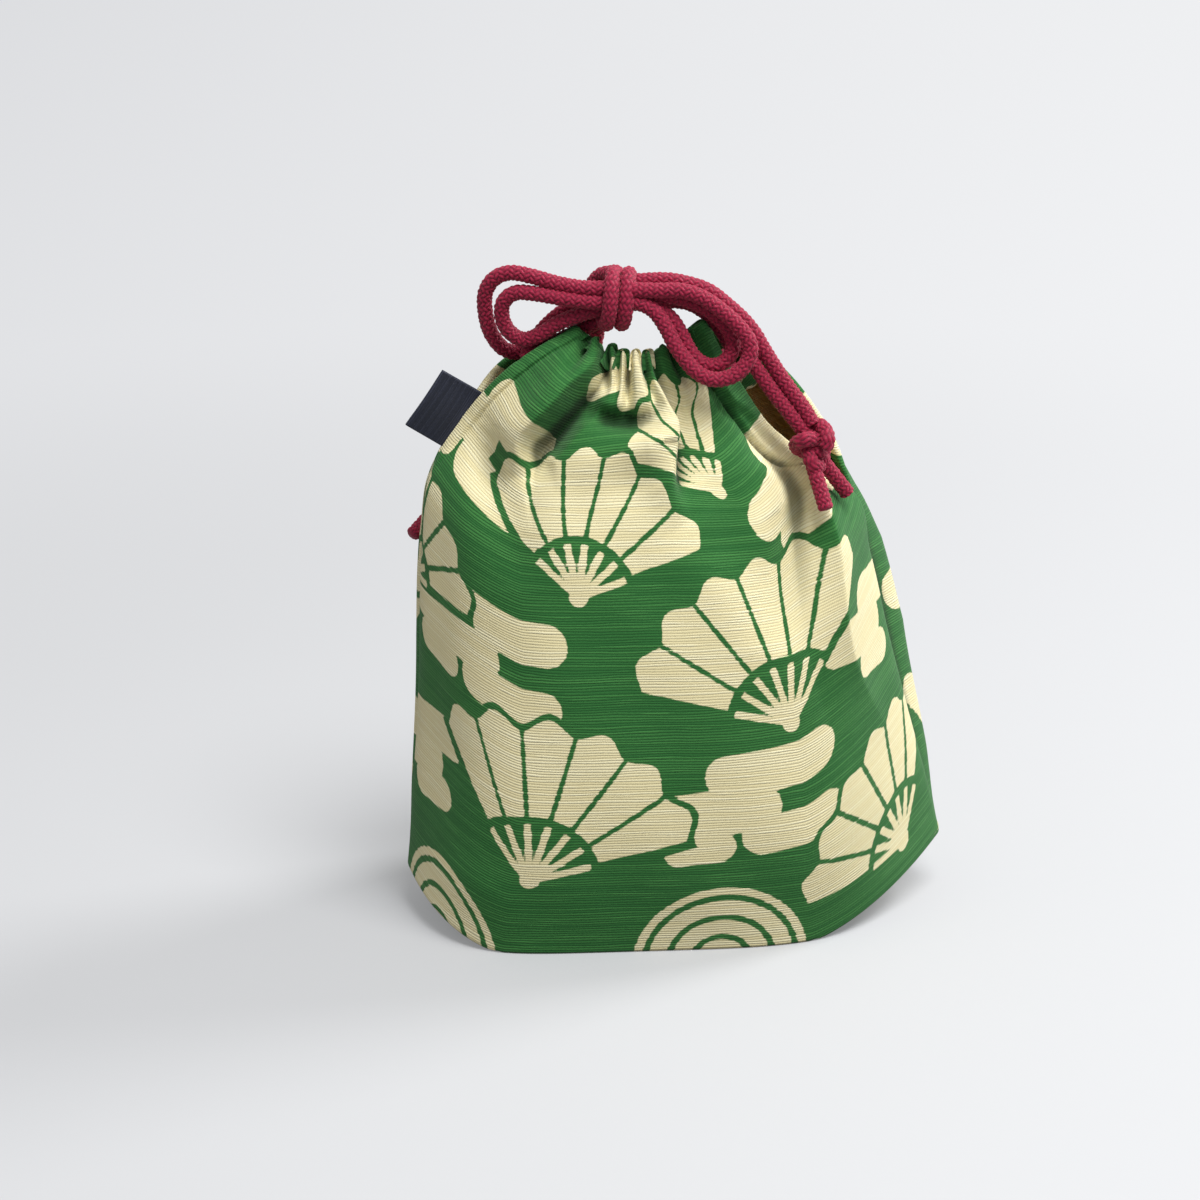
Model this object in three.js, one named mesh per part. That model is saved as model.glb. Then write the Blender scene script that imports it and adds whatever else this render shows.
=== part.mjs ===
// Drawstring lunch bag of printed slub cotton: a boat-shaped base, two walls joined at side seams,
// a casing round the gathered mouth and two cords tied in a bow.
// Millimetres, +Z up, front toward -Y, origin at the middle of the base on the surface it stands on.
import * as THREE from 'three';

// Cloth
const CLOTH = 1.1; // outer cotton wall
const LINING = 0.7; // plain inner cloth
const CASING_CLOTH = 0.9; // turned-in hem that closes the cord tunnel
const LAYER_GAP = 0.35; // between layers that lie on each other
const SEAM_GAP = 0.3; // between front and rear wall at a side seam

// Base
const BASE_HALF_WIDTH = 83.5; // origin to a seam tip
const BASE_HALF_DEPTH = 44;
const TIP_RISE_LEFT = 12; // the seam tips stand clear of the ground
const TIP_RISE_RIGHT = 18;
const FLAT_SHARE_LEFT = 0.6; // share of the half width that lies flat, on either side
const FLAT_SHARE_RIGHT = 0.5;
const BLUNT_LEFT = 6; // how full the walls are toward a seam, as a power; both end in BLUNT_RIM at the rim
const BLUNT_RIGHT = 3.6;
const BLUNT_RIM = 1.8;
const TIP_CURVE = 1.3; // power of the rise toward a tip

// Cords
const CORD = 4.8; // diameter
const CORD_SIDES = 8;
const CORD_STEP = 8; // length of one facet along a cord
const CORD_CLEARANCE = 0.9; // between cord and tunnel wall
const END_GAP = 0.35; // between cord pieces that meet end to end
const TUNNEL_FULLNESS = 10; // how square the cord tunnel is, as a power

// Bow
const KNOT = new THREE.Vector3(-18, -10.5, 200.5);
const KNOT_RADIUS = 8.5;
const KNOT_END_RADIUS = 6.5;
const LAYER_PITCH = CORD + 0.8; // loops and tails lie in layers along the knot
const END_KNOT_WIDTH = 14;
const END_KNOT_HEIGHT = 17;
const END_KNOT_DEPTH = 12.5;
const TIP_LENGTH = 13;

// Side label, a folded woven tab sewn beside the left slit
const LABEL_LENGTH = 21.5; // along the slit
const LABEL_REACH = 15.5; // out from the slit
const LABEL_THICKNESS = 1;
const LABEL_EDGE_GAP = 0.8;

// Rows of the walls: 0 at the base fold, SLIT_ROW where the side slits begin, CASING_ROW at the
// lower edge of the cord tunnel and the last one at the rim.
const SLIT_ROW = 4;
const CASING_ROW = 6;
const RIM_ROW = 7;
const LOWER_CORD_ROW = 6.2; // places of the two cords in the tunnel
const UPPER_CORD_ROW = 6.8;
const CASING_REACH = 0.76; // the casing stops short of the slits
const LINING_REACH = 0.96;
const BASE_REACH = 0.97;
const TURN_REACH = 0.9; // where a cord crosses from casing to casing
const EXIT_REACH = 1; // where a cord leaves its casing

const SEAM_Y = SEAM_GAP / 2;
const SLIT_Y = CORD + 3; // half the width of a slit where the cords come out
const CREST_Y = CORD + 2.6; // half the width of a slit at the rim

// Guide curves, one point a row: the two side edges of a wall and its crown between them.
const frontGuides = {
  left: [
    [-BASE_HALF_WIDTH, -SEAM_Y, TIP_RISE_LEFT],
    [-79.5, -SEAM_Y, 43],
    [-77.2, -SEAM_Y, 88],
    [-76.5, -SEAM_Y, 120],
    [-75, -SEAM_Y, 142],
    [-66.3, -1.6, 159],
    [-51, -SLIT_Y, 177.4],
    [-32, -CREST_Y, 189.5],
  ],
  right: [
    [BASE_HALF_WIDTH, -SEAM_Y, TIP_RISE_RIGHT],
    [76, -SEAM_Y, 46],
    [66.5, -SEAM_Y, 86],
    [61.5, -SEAM_Y, 114],
    [56, -SEAM_Y, 134],
    [33, -6.5, 152.5],
    [19.5, -SLIT_Y, 172.5],
    [9, -CREST_Y, 190],
  ],
  crown: [
    [-5, -BASE_HALF_DEPTH, 0],
    [-4, -47.5, 36],
    [-5, -45, 80],
    [-7, -41, 112],
    [-9, -36.5, 132],
    [-11, -31, 147],
    [-12.5, -24, 161],
    [-12.5, -16, 184],
  ],
};
const rearGuides = {
  left: [
    ...frontGuides.left.slice(0, SLIT_ROW + 1).map(([x, y, z]) => [x, -y, z]),
    [-66.3, 1.6, 159],
    [-51, SLIT_Y, 176.4],
    [-28, CREST_Y, 183],
  ],
  right: [
    ...frontGuides.right.slice(0, SLIT_ROW + 1).map(([x, y, z]) => [x, -y, z]),
    [45, 6, 153.5],
    [30.5, SLIT_Y, 172.2],
    [12, CREST_Y, 184],
  ],
  crown: [
    [4, BASE_HALF_DEPTH, 0],
    [2, 48, 36],
    [-3, 46, 80],
    [-6, 42, 112],
    [-8, 37, 131],
    [-10, 31.5, 144.5],
    [-11.5, 25, 156],
    [-12, 16, 175],
  ],
};

// Swell of a wall beside its seams, one height a row, greatest at SWELL_PLACE from the seam.
const SWELL_PLACE = 0.045; // as a share of the half width
frontGuides.swell = {
  left: [0, 1, 1.2, 1.2, 0, 0, 0, 0],
  right: [0, 0.6, 0.8, 0.8, 0.6, 0, 0, 0],
};
rearGuides.swell = {
  left: [0, 2, 3, 3, 0.5, 0, 0, 0],
  right: [0, 5.5, 9, 7.5, 3, 0, 0, 0],
};

// Main folds, as lines seen from the front: [x, z, height out of the wall], and a reach to either side.
frontGuides.folds = [
  { reach: 7, line: [[-28, 178, 0], [-34, 171, 4], [-41, 165, 5], [-48, 160, 3], [-56, 154, 0]] }, // shoulder
  { reach: 6, line: [[-26, 172, 0], [-31, 167, -3], [-40, 159, -3.5], [-48, 147, -2.5], [-50, 136, 0]] },
  { reach: 8, line: [[-42, 147, 0], [-26, 155, 4], [-12, 157, 4.5], [-4, 155, 3], [0, 146, 0]] }, // pouch
  { reach: 6, line: [[46, 131, 2], [48, 122, 6], [50, 110, 6], [53, 90, 3.5], [60, 70, 0]] }, // right ridge
  { reach: 7, line: [[33, 146, -2], [38, 136, -4], [41, 122, -4], [42, 106, -2], [41, 92, 0]] },
];
rearGuides.folds = [
  { reach: 8, line: [[-24, 146, 2], [-10, 148, 3.5], [6, 146, 2]] },
  { reach: 8, line: [[28, 156, 0], [34, 146, 2.5], [40, 130, 2.5], [44, 108, 0]] },
  { reach: 7, line: [[-40, 162, 0], [-47, 156, 2.5], [-55, 146, 2.5], [-60, 128, 1.5], [-62, 108, 0]] },
];

const cotton = { color: 0x2a6e35, roughness: 0.9, metalness: 0 };
const plainCloth = { color: 0xd6b26a, roughness: 0.92, metalness: 0 };
const crimson = { color: 0xa81c3a, roughness: 0.7, metalness: 0 };
const navy = { color: 0x232634, roughness: 0.75, metalness: 0 };

const bag = new THREE.Group();

function addPiece(name, geometry, finish) {
  const mesh = new THREE.Mesh(geometry, new THREE.MeshStandardMaterial(finish));
  mesh.name = name;
  bag.add(mesh);
  return mesh;
}

function samples(from, to, count) {
  return Array.from({ length: count + 1 }, (_, i) => from + ((to - from) * i) / count);
}

// Samples from -reach to reach, closer together toward the ends.
function acrossSamples(reach, count) {
  return samples(-Math.PI / 2, Math.PI / 2, count).map((angle) => reach * Math.sin(angle));
}

function smoothPath(points) {
  return new THREE.CatmullRomCurve3(points, false, 'catmullrom', 0.5);
}

// Height of the base at a share of its half width, as a part of its tip's rise.
function baseLift(across) {
  const flat = across < 0 ? FLAT_SHARE_LEFT : FLAT_SHARE_RIGHT;
  return Math.max(0, (Math.abs(across) - flat) / (1 - flat)) ** TIP_CURVE;
}

function baseHeight(across) {
  return (across < 0 ? TIP_RISE_LEFT : TIP_RISE_RIGHT) * baseLift(across);
}

// Height at a row, straight between the rows that are given.
function heightAtRow(heights, row) {
  const low = Math.min(Math.floor(row), heights.length - 2);
  return THREE.MathUtils.lerp(heights[low], heights[low + 1], row - low);
}

// Height of a fold at a point seen from the front: a mean of its points' heights, the near ones
// counting most, dying away with the distance to its line.
function foldHeight({ line, reach }, x, z) {
  let nearest = Infinity;
  let total = 0;
  let weights = 0;
  line.forEach(([ax, az, height], i) => {
    const [bx, bz] = line[Math.min(i + 1, line.length - 1)];
    const length = Math.max((bx - ax) ** 2 + (bz - az) ** 2, 1e-9);
    const share = THREE.MathUtils.clamp(((x - ax) * (bx - ax) + (z - az) * (bz - az)) / length, 0, 1);
    nearest = Math.min(nearest, Math.hypot(x - ax - share * (bx - ax), z - az - share * (bz - az)));
    const weight = 1 / ((x - ax) ** 2 + (z - az) ** 2 + 1) ** 2;
    total += height * weight;
    weights += weight;
  });
  return (total / weights) * Math.exp(-((nearest / reach) ** 2));
}

function makeWall(guides, facing) {
  const [left, right, crown] = [guides.left, guides.right, guides.crown].map((points) =>
    smoothPath(points.map((p) => new THREE.Vector3(...p))),
  );
  return { left, right, crown, facing, swell: guides.swell, folds: guides.folds };
}

const front = makeWall(frontGuides, -1);
const rear = makeWall(rearGuides, 1);

// A side edge of a wall, which never crosses the seam.
function edgePoint(wall, edge, up) {
  const point = edge.getPoint(up);
  return point.setY(wall.facing * Math.max(wall.facing * point.y, SEAM_Y));
}

// Smooth form of a wall: straight from edge to edge, plus the crown's bulge, which is blunt at the
// base and pointed at the rim. Below the first row each half rises to its own seam tip.
function smoothPoint(wall, across, row) {
  const up = row / RIM_ROW;
  const left = edgePoint(wall, wall.left, up);
  const right = edgePoint(wall, wall.right, up);
  const crown = wall.crown.getPoint(up);
  const middle = left.clone().lerp(right, 0.5);
  const blunt = across < 0 ? BLUNT_LEFT : BLUNT_RIGHT;
  const outward = 1 - Math.abs(across) ** THREE.MathUtils.lerp(blunt, BLUNT_RIM, up);
  const rise = 1 - THREE.MathUtils.lerp(baseLift(across), across ** 2, up);
  const point = left.clone().lerp(right, (across + 1) / 2);
  const tip = across < 0 ? left : right;
  point.z = THREE.MathUtils.lerp(tip.z, point.z, Math.min(row, 1));
  middle.z = THREE.MathUtils.lerp(tip.z, middle.z, Math.min(row, 1));
  const bulge = crown.sub(middle);
  return point.add(new THREE.Vector3(bulge.x * outward, bulge.y * outward, bulge.z * rise));
}

// The normal is taken over a short way, which rounds off the bend where a slit begins.
function normalOf(surface, wall, across, row) {
  const low = Math.max(row - 0.15, 0);
  const high = Math.min(row + 0.15, RIM_ROW);
  const from = Math.max(across - 0.004, -1);
  const to = Math.min(across + 0.004, 1);
  const along = surface(wall, to, row).sub(surface(wall, from, row));
  const up = surface(wall, across, high).sub(surface(wall, across, low));
  return along.cross(up).multiplyScalar(-wall.facing).normalize();
}

// Outer face of a wall: its smooth form, with the seam swell and the main folds between base and casing.
function wallPoint(wall, across, row) {
  const point = smoothPoint(wall, across, row);
  const inside = 1 - Math.abs(across);
  const swell = heightAtRow(across < 0 ? wall.swell.left : wall.swell.right, row);
  const folds = wall.folds.reduce((sum, fold) => sum + foldHeight(fold, point.x, point.z), 0);
  const places = inside / SWELL_PLACE;
  const beside = Math.exp(-((places - 1) ** 2)) * (1 - Math.exp(-((4 * places) ** 2)));
  const between = THREE.MathUtils.smoothstep(places, 0, 3);
  const belowCasing = 1 - THREE.MathUtils.smoothstep(row, CASING_ROW - 0.8, CASING_ROW);
  const upright = THREE.MathUtils.smoothstep(row, 0, 1) * belowCasing;
  const height = upright * (swell * beside + folds * between);
  return point.addScaledVector(normalOf(smoothPoint, wall, across, row), height);
}

// A point inside a wall by a depth. Beside the side seams it shifts straight across, so that the
// front and the rear cloth each keep to their own side.
function layerPoint(wall, across, row, depth) {
  const normal = normalOf(wallPoint, wall, across, row);
  const besideSeam = THREE.MathUtils.smoothstep(Math.abs(across), 1 - 2 * SWELL_PLACE, 1);
  const belowSlit = 1 - THREE.MathUtils.smoothstep(row, SLIT_ROW, SLIT_ROW + 1);
  const straight = new THREE.Vector3(-Math.sign(across), 0, 0);
  const inward = normal.clone().negate().lerp(straight, besideSeam * belowSlit).normalize();
  const point = wallPoint(wall, across, row).addScaledVector(inward, -depth / inward.dot(normal));
  return point.setZ(Math.max(point.z, 0));
}

// Closed sheet between two grids of points of the same size.
function sheet(outer, inner) {
  const rows = outer.length;
  const columns = outer[0].length;
  const corners = [...outer.flat(), ...inner.flat()];
  const at = (side, i, j) => (side * rows + i) * columns + j;
  const index = [];
  const quad = (a, b, c, d) => index.push(a, b, c, a, c, d);
  for (let i = 0; i + 1 < rows; i += 1) {
    for (let j = 0; j + 1 < columns; j += 1) {
      quad(at(0, i, j), at(0, i, j + 1), at(0, i + 1, j + 1), at(0, i + 1, j));
      quad(at(1, i, j), at(1, i + 1, j), at(1, i + 1, j + 1), at(1, i, j + 1));
    }
    const last = columns - 1;
    quad(at(0, i, 0), at(0, i + 1, 0), at(1, i + 1, 0), at(1, i, 0));
    quad(at(0, i + 1, last), at(0, i, last), at(1, i, last), at(1, i + 1, last));
  }
  for (let j = 0; j + 1 < columns; j += 1) {
    const last = rows - 1;
    quad(at(0, 0, j + 1), at(0, 0, j), at(1, 0, j), at(1, 0, j + 1));
    quad(at(0, last, j), at(0, last, j + 1), at(1, last, j + 1), at(1, last, j));
  }
  if (enclosedVolume(corners, index) < 0) {
    index.reverse();
  }
  const geometry = new THREE.BufferGeometry().setFromPoints(corners);
  geometry.setIndex(index);
  geometry.computeVertexNormals();
  return geometry;
}

function enclosedVolume(corners, index) {
  let volume = 0;
  for (let i = 0; i < index.length; i += 3) {
    const [a, b, c] = index.slice(i, i + 3).map((k) => corners[k]);
    volume += a.dot(b.clone().cross(c)) / 6;
  }
  return volume;
}

// Walls
function wallLayer(wall, acrossList, rowList, depth) {
  return rowList.map((row) => acrossList.map((s) => layerPoint(wall, s, row, depth)));
}

const wallRows = samples(0, RIM_ROW, 3 * RIM_ROW);
const wallAcross = acrossSamples(1, 28);
for (const [name, wall] of [['front_panel', front], ['rear_panel', rear]]) {
  const geometry = sheet(
    wallLayer(wall, wallAcross, wallRows, 0),
    wallLayer(wall, wallAcross, wallRows, CLOTH),
  );
  addPiece(name, geometry, cotton);
}

// Plain lining inside each wall, from the base up to the casing
const liningDepth = CLOTH + LAYER_GAP;
const liningRows = wallRows.filter((row) => row < CASING_ROW);
const liningColumns = wallAcross.filter((s) => Math.abs(s) < LINING_REACH);
const floorLift = new THREE.Vector3(0, 0, CLOTH + LAYER_GAP);

function liningLayer(wall, depth) {
  const layer = wallLayer(wall, liningColumns, liningRows, depth);
  layer[0].forEach((point) => point.add(floorLift));
  return layer;
}

for (const [name, wall] of [['front_lining', front], ['rear_lining', rear]]) {
  const geometry = sheet(
    liningLayer(wall, liningDepth),
    liningLayer(wall, liningDepth + LINING),
  );
  addPiece(name, geometry, plainCloth);
}

// Base: a plate between the walls, flat in the middle and rising to the seam tips
function basePlate(inset, bottom, thickness) {
  const across = acrossSamples(BASE_REACH, 20);
  const layer = (height) =>
    samples(0, 1, 3).map((share) =>
      across.map((s) => {
        const nearPoint = layerPoint(front, s, 0, inset);
        const farPoint = layerPoint(rear, s, 0, inset);
        const point = nearPoint.lerp(farPoint, share);
        return point.setZ(baseHeight(s) + height);
      }),
    );
  return sheet(layer(bottom), layer(bottom + thickness));
}

addPiece('base_panel', basePlate(CLOTH + 2 * LAYER_GAP, 0, CLOTH), cotton);
const baseLiningInset = liningDepth + LINING + 2 * LAYER_GAP;
addPiece('base_lining', basePlate(baseLiningInset, floorLift.z, LINING), plainCloth);

// Casing: the turned-in hem inside the mouth, standing off the wall by the cord tunnel
const tunnel = CORD + 2 * CORD_CLEARANCE;
const casingRows = [0, 0.08, 0.2, 0.5, 0.8, 0.92, 1];
const casingAcross = acrossSamples(CASING_REACH, 16);

function casingLayer(wall, thickness) {
  return casingRows.map((share) => {
    const row = THREE.MathUtils.lerp(CASING_ROW, RIM_ROW, share);
    const standOff = tunnel * (1 - Math.abs(2 * share - 1) ** TUNNEL_FULLNESS);
    const depth = CLOTH + LAYER_GAP + standOff + thickness;
    return casingAcross.map((s) => layerPoint(wall, s, row, depth));
  });
}

for (const [name, wall] of [['front_casing', front], ['rear_casing', rear]]) {
  addPiece(name, sheet(casingLayer(wall, 0), casingLayer(wall, CASING_CLOTH)), cotton);
}

// Cords
function cordSection() {
  const section = new THREE.Shape();
  for (let i = 0; i < CORD_SIDES; i += 1) {
    const angle = (2 * Math.PI * i) / CORD_SIDES;
    const corner = [Math.cos(angle) * (CORD / 2), Math.sin(angle) * (CORD / 2)];
    if (i === 0) {
      section.moveTo(...corner);
    } else {
      section.lineTo(...corner);
    }
  }
  section.closePath();
  return section;
}

function addCord(name, points) {
  const path = smoothPath(points);
  const steps = Math.max(3, Math.ceil(path.getLength() / CORD_STEP));
  const options = { steps, extrudePath: path, bevelEnabled: false };
  addPiece(name, new THREE.ExtrudeGeometry(cordSection(), options), crimson);
  return path;
}

// A cord's run through both casings, out at one slit and turning round at the other.
const tunnelDepth = CLOTH + CORD_CLEARANCE + CORD / 2;

function casingRun(exit, frontRow, rearRow) {
  const inside = [EXIT_REACH, 0.85, 0.6, 0.3, 0, -0.3, -0.6, -0.76, -TURN_REACH];
  const there = inside.map((s) => layerPoint(front, s * exit, frontRow, tunnelDepth));
  const back = inside.map((s) => layerPoint(rear, s * exit, rearRow, tunnelDepth)).reverse();
  return [...there, ...back];
}

const leftRun = addCord('left_cord_run', casingRun(-1, LOWER_CORD_ROW, UPPER_CORD_ROW));
const rightRun = addCord('right_cord_run', casingRun(1, UPPER_CORD_ROW, LOWER_CORD_ROW));

// Layers along the bow knot, front to back
const layerY = [-1.5, -0.5, 0.5, 1.5].map((i) => KNOT.y + i * LAYER_PITCH);
const [RIGHT_LOOP_Y, LEFT_LOOP_Y, RIGHT_TAIL_Y, LEFT_TAIL_Y] = layerY;

// A point off the knot's round face, at an angle from +X toward +Z and a distance from the face.
function knotRoot(angle, y, distance) {
  const turn = THREE.MathUtils.degToRad(angle);
  const reach = KNOT_RADIUS + distance;
  return new THREE.Vector3(KNOT.x + reach * Math.cos(turn), y, KNOT.z + reach * Math.sin(turn));
}

function knotStart(angle, y) {
  return [knotRoot(angle, y, END_GAP), knotRoot(angle, y, END_GAP + CORD)];
}

const rootAngle = THREE.MathUtils.radToDeg((CORD + 0.6) / (KNOT_RADIUS + END_GAP));

// Risers: from the casing ends at the slits up to the knot
function addRiser(name, run, atStart, points, angle, y) {
  const end = run.getPoint(atStart ? 0 : 1);
  const away = run.getTangent(atStart ? 0 : 1).multiplyScalar(atStart ? -1 : 1);
  const start = [END_GAP, CORD].map((d) => end.clone().addScaledVector(away, d));
  const between = points.map((p) => new THREE.Vector3(...p));
  addCord(name, [...start, ...between, ...knotStart(angle, y).reverse()]);
}

const leftFrontRiser = [
  [-50, -2, 188.5],
  [-46, -3, 193],
  [-39, -5, 196],
];
const leftRearRiser = [
  [-38, 3.4, 188.5],
  [-34.5, 0.5, 191.5],
];
const rightFrontRiser = [
  [14, -3, 190],
  [10.5, -4, 194],
  [3, -5.5, 195.3],
];
const rightRearRiser = [
  [26, 2.8, 183.5],
  [21, 3.4, 189.5],
  [12, 3.4, 191],
  [2, 0.8, 192],
];
addRiser('left_front_riser', leftRun, true, leftFrontRiser, 190, RIGHT_TAIL_Y);
addRiser('left_rear_riser', leftRun, false, leftRearRiser, 190 + rootAngle, RIGHT_TAIL_Y);
addRiser('right_front_riser', rightRun, true, rightFrontRiser, -24, RIGHT_TAIL_Y);
addRiser('right_rear_riser', rightRun, false, rightRearRiser, -50, LEFT_TAIL_Y);

// Bow knot: a barrel along Y, round where the cords turn about it
const barrelHalf = 2 * LAYER_PITCH + 0.4;
const barrelProfile = [
  [0, -barrelHalf],
  [KNOT_END_RADIUS, -barrelHalf],
  [KNOT_RADIUS, -barrelHalf + (KNOT_RADIUS - KNOT_END_RADIUS)],
  [KNOT_RADIUS, barrelHalf - (KNOT_RADIUS - KNOT_END_RADIUS)],
  [KNOT_END_RADIUS, barrelHalf],
  [0, barrelHalf],
].map(([r, y]) => new THREE.Vector2(r, y));
const bowKnot = addPiece('bow_knot', new THREE.LatheGeometry(barrelProfile, 24), crimson);
bowKnot.position.copy(KNOT);

// Loops: two nested strands a side, each out of the knot and back into it in its own layer
function addLoop(name, points, y, leave, enter) {
  const route = points.map(([x, z, lean]) => new THREE.Vector3(x, y + lean, z));
  addCord(name, [...knotStart(leave, y), ...route, ...knotStart(enter, y).reverse()]);
}

const leftLoopOuter = [
  [-38, 207.5, 1],
  [-50, 207, 2],
  [-57.5, 200.5, 3],
  [-57, 192, 3],
  [-49.5, 186.5, 2],
  [-38, 187.5, 1],
];
const leftLoopInner = [
  [-38, 201.8, 1],
  [-47.5, 201.3, 2],
  [-51.6, 196.8, 2.5],
  [-47, 192.6, 2],
  [-38, 193.2, 1],
];
const rightLoopOuter = [
  [4, 209, -1],
  [14, 202, -2],
  [19.3, 191, -3],
  [15.5, 180, -4],
  [7, 176.8, -4],
  [0, 182.5, -3],
];
const rightLoopInner = [
  [3, 203, -1],
  [10.3, 197.6, -2],
  [13.6, 190, -3],
  [11, 183, -4],
  [5.5, 184.5, -3],
];
const leftSide = 180;
const loopAngles = [-1.5, -0.5, 0.5, 1.5].map((i) => i * rootAngle);
addLoop('left_loop_outer', leftLoopOuter, LEFT_LOOP_Y, leftSide + loopAngles[0], leftSide + loopAngles[3]);
addLoop('left_loop_inner', leftLoopInner, LEFT_LOOP_Y, leftSide + loopAngles[1], leftSide + loopAngles[2]);
addLoop('right_loop_outer', rightLoopOuter, RIGHT_LOOP_Y, loopAngles[3], loopAngles[0]);
addLoop('right_loop_inner', rightLoopInner, RIGHT_LOOP_Y, loopAngles[2], loopAngles[1]);

// Tails: two strands a side down to an end knot, whose two cut ends stick out below it
const endKnotHalf = new THREE.Vector3(END_KNOT_WIDTH, END_KNOT_DEPTH, END_KNOT_HEIGHT).multiplyScalar(0.5);

// A point just off an end knot's face, in a direction from its middle.
function endKnotSeat(centre, direction) {
  const reach = 1 / direction.clone().divide(endKnotHalf).length();
  return centre.clone().addScaledVector(direction, reach + END_GAP);
}

function addTail(side, centre, strands, tips) {
  for (const [name, route] of Object.entries(strands)) {
    const direction = route.at(-1).clone().sub(centre).normalize();
    addCord(`${side}_tail_${name}`, [...route, endKnotSeat(centre, direction)]);
  }
  const knot = addPiece(`${side}_end_knot`, new THREE.SphereGeometry(1, 14, 10), crimson);
  knot.scale.copy(endKnotHalf);
  knot.position.copy(centre);
  for (const [name, toward] of Object.entries(tips)) {
    const direction = new THREE.Vector3(...toward).normalize();
    const start = endKnotSeat(centre, direction);
    const points = [0, 0.5, 1].map((share) => start.clone().addScaledVector(direction, share * TIP_LENGTH));
    addCord(`${side}_tip_${name}`, points);
  }
}

// The right tail leaves the knot's round face and comes to rest over the right slit.
const rightOuterTail = [
  [4, -8, 209],
  [16.5, -8.5, 203],
  [26, -10, 190],
  [35, -12.5, 177],
  [43, -15, 168],
];
const rightInnerTail = [
  [2, -8.5, 203],
  [12.5, -10, 199],
  [20, -12, 187],
  [26.5, -14.5, 174],
  [32.5, -16.5, 166],
];
const rightEndKnot = new THREE.Vector3(39.7, -17.5, 154.5);

function rightTail(points, angle) {
  return [...knotStart(angle, RIGHT_TAIL_Y), ...points.map((p) => new THREE.Vector3(...p))];
}

addTail(
  'right',
  rightEndKnot,
  { outer: rightTail(rightOuterTail, 62), inner: rightTail(rightInnerTail, 26) },
  { outer: [0.72, -0.12, -0.68], inner: [0.2, -0.12, -0.97] },
);

// The left tail leaves the knot's rear face and lies on the rear wall.
function onRearWall(across, row, radius) {
  return layerPoint(rear, across, row, -(radius + LAYER_GAP));
}

function leftTail(side, inAir, onWall) {
  const rise = side * (CORD / 2 + END_GAP);
  const start = KNOT.clone().add(new THREE.Vector3(0, barrelHalf + END_GAP, rise));
  const behind = start.clone().add(new THREE.Vector3(0, CORD, 0));
  const lying = onWall.map(([across, row]) => onRearWall(across, row, CORD / 2 + CORD_CLEARANCE));
  return [start, behind, new THREE.Vector3(...inAir), ...lying];
}

addTail(
  'left',
  onRearWall(-0.86, 3.05, END_KNOT_WIDTH / 2),
  {
    outer: leftTail(1, [-28.5, 19, 193], [[-0.66, 6.3], [-0.74, 5.5], [-0.82, 4.6], [-0.88, 3.75]]),
    inner: leftTail(-1, [-24.5, 17, 186], [[-0.42, 6.2], [-0.58, 5.3], [-0.69, 4.4], [-0.76, 3.65]]),
  },
  { outer: [-0.3, -0.1, -0.95], inner: [0.2, 0.4, -0.9] },
);

// Label: its sewn edge lies along the left slit, and the tab stands out from it
const slitLow = front.left.getPoint((SLIT_ROW + 0.5) / RIM_ROW);
const slitHigh = front.left.getPoint((CASING_ROW - 0.45) / RIM_ROW);
const sewnMiddle = slitLow.clone().lerp(slitHigh, 0.5).setY(0);
const sewnAngle = Math.atan2(slitHigh.z - slitLow.z, slitHigh.x - slitLow.x);
const label = addPiece(
  'side_label',
  new THREE.BoxGeometry(LABEL_LENGTH, LABEL_THICKNESS, LABEL_REACH),
  navy,
);
label.geometry.translate(0, 0, LABEL_REACH / 2 + LABEL_EDGE_GAP);
label.rotation.y = -sewnAngle;
label.position.copy(sewnMiddle);

export default bag;
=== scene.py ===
# Drawstring lunch bag: gathered slub cotton walls, braided cords tied in a bow, a bare woven tab
import bpy
import numpy as np
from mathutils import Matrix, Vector


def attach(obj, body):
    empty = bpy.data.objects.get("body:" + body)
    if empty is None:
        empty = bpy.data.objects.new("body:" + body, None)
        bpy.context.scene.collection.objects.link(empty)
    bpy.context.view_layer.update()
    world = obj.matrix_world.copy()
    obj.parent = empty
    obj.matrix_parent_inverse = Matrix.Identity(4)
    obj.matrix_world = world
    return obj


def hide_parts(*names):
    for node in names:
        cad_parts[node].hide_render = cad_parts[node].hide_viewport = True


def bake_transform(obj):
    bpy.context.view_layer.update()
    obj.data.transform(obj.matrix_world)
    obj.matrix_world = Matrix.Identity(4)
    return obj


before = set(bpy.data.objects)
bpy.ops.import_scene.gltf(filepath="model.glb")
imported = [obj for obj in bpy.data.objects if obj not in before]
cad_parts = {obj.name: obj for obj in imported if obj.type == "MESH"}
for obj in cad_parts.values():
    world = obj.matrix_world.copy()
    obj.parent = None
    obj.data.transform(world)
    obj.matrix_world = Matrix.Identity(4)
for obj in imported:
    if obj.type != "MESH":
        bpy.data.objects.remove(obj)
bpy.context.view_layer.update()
scene = bpy.context.scene
scene.view_settings.view_transform = "Standard"
metres = 0.001  # in a millimetre, because shapes are worked out in mm


def addObject(name, data):
    thing = bpy.data.objects.new(name, data)
    scene.collection.objects.link(thing)
    return thing


# Turns a camera or a lamp at its place towards an aim, both in metres
def pointAt(thing, place, aim):
    thing.location = place
    thing.rotation_euler = (Vector(aim) - Vector(place)).to_track_quat("-Z", "Y").to_euler()


# Camera at the photograph's angle, placed and aimed in mm
viewpoint = {
    "place": (-100.1, -1091.5, 497.9), "aim": (-21.4, 33.4, 87.5), "lens": 112.5, "sensor": 36.0,
    "farthest": 50.0,  # metres
}


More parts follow.
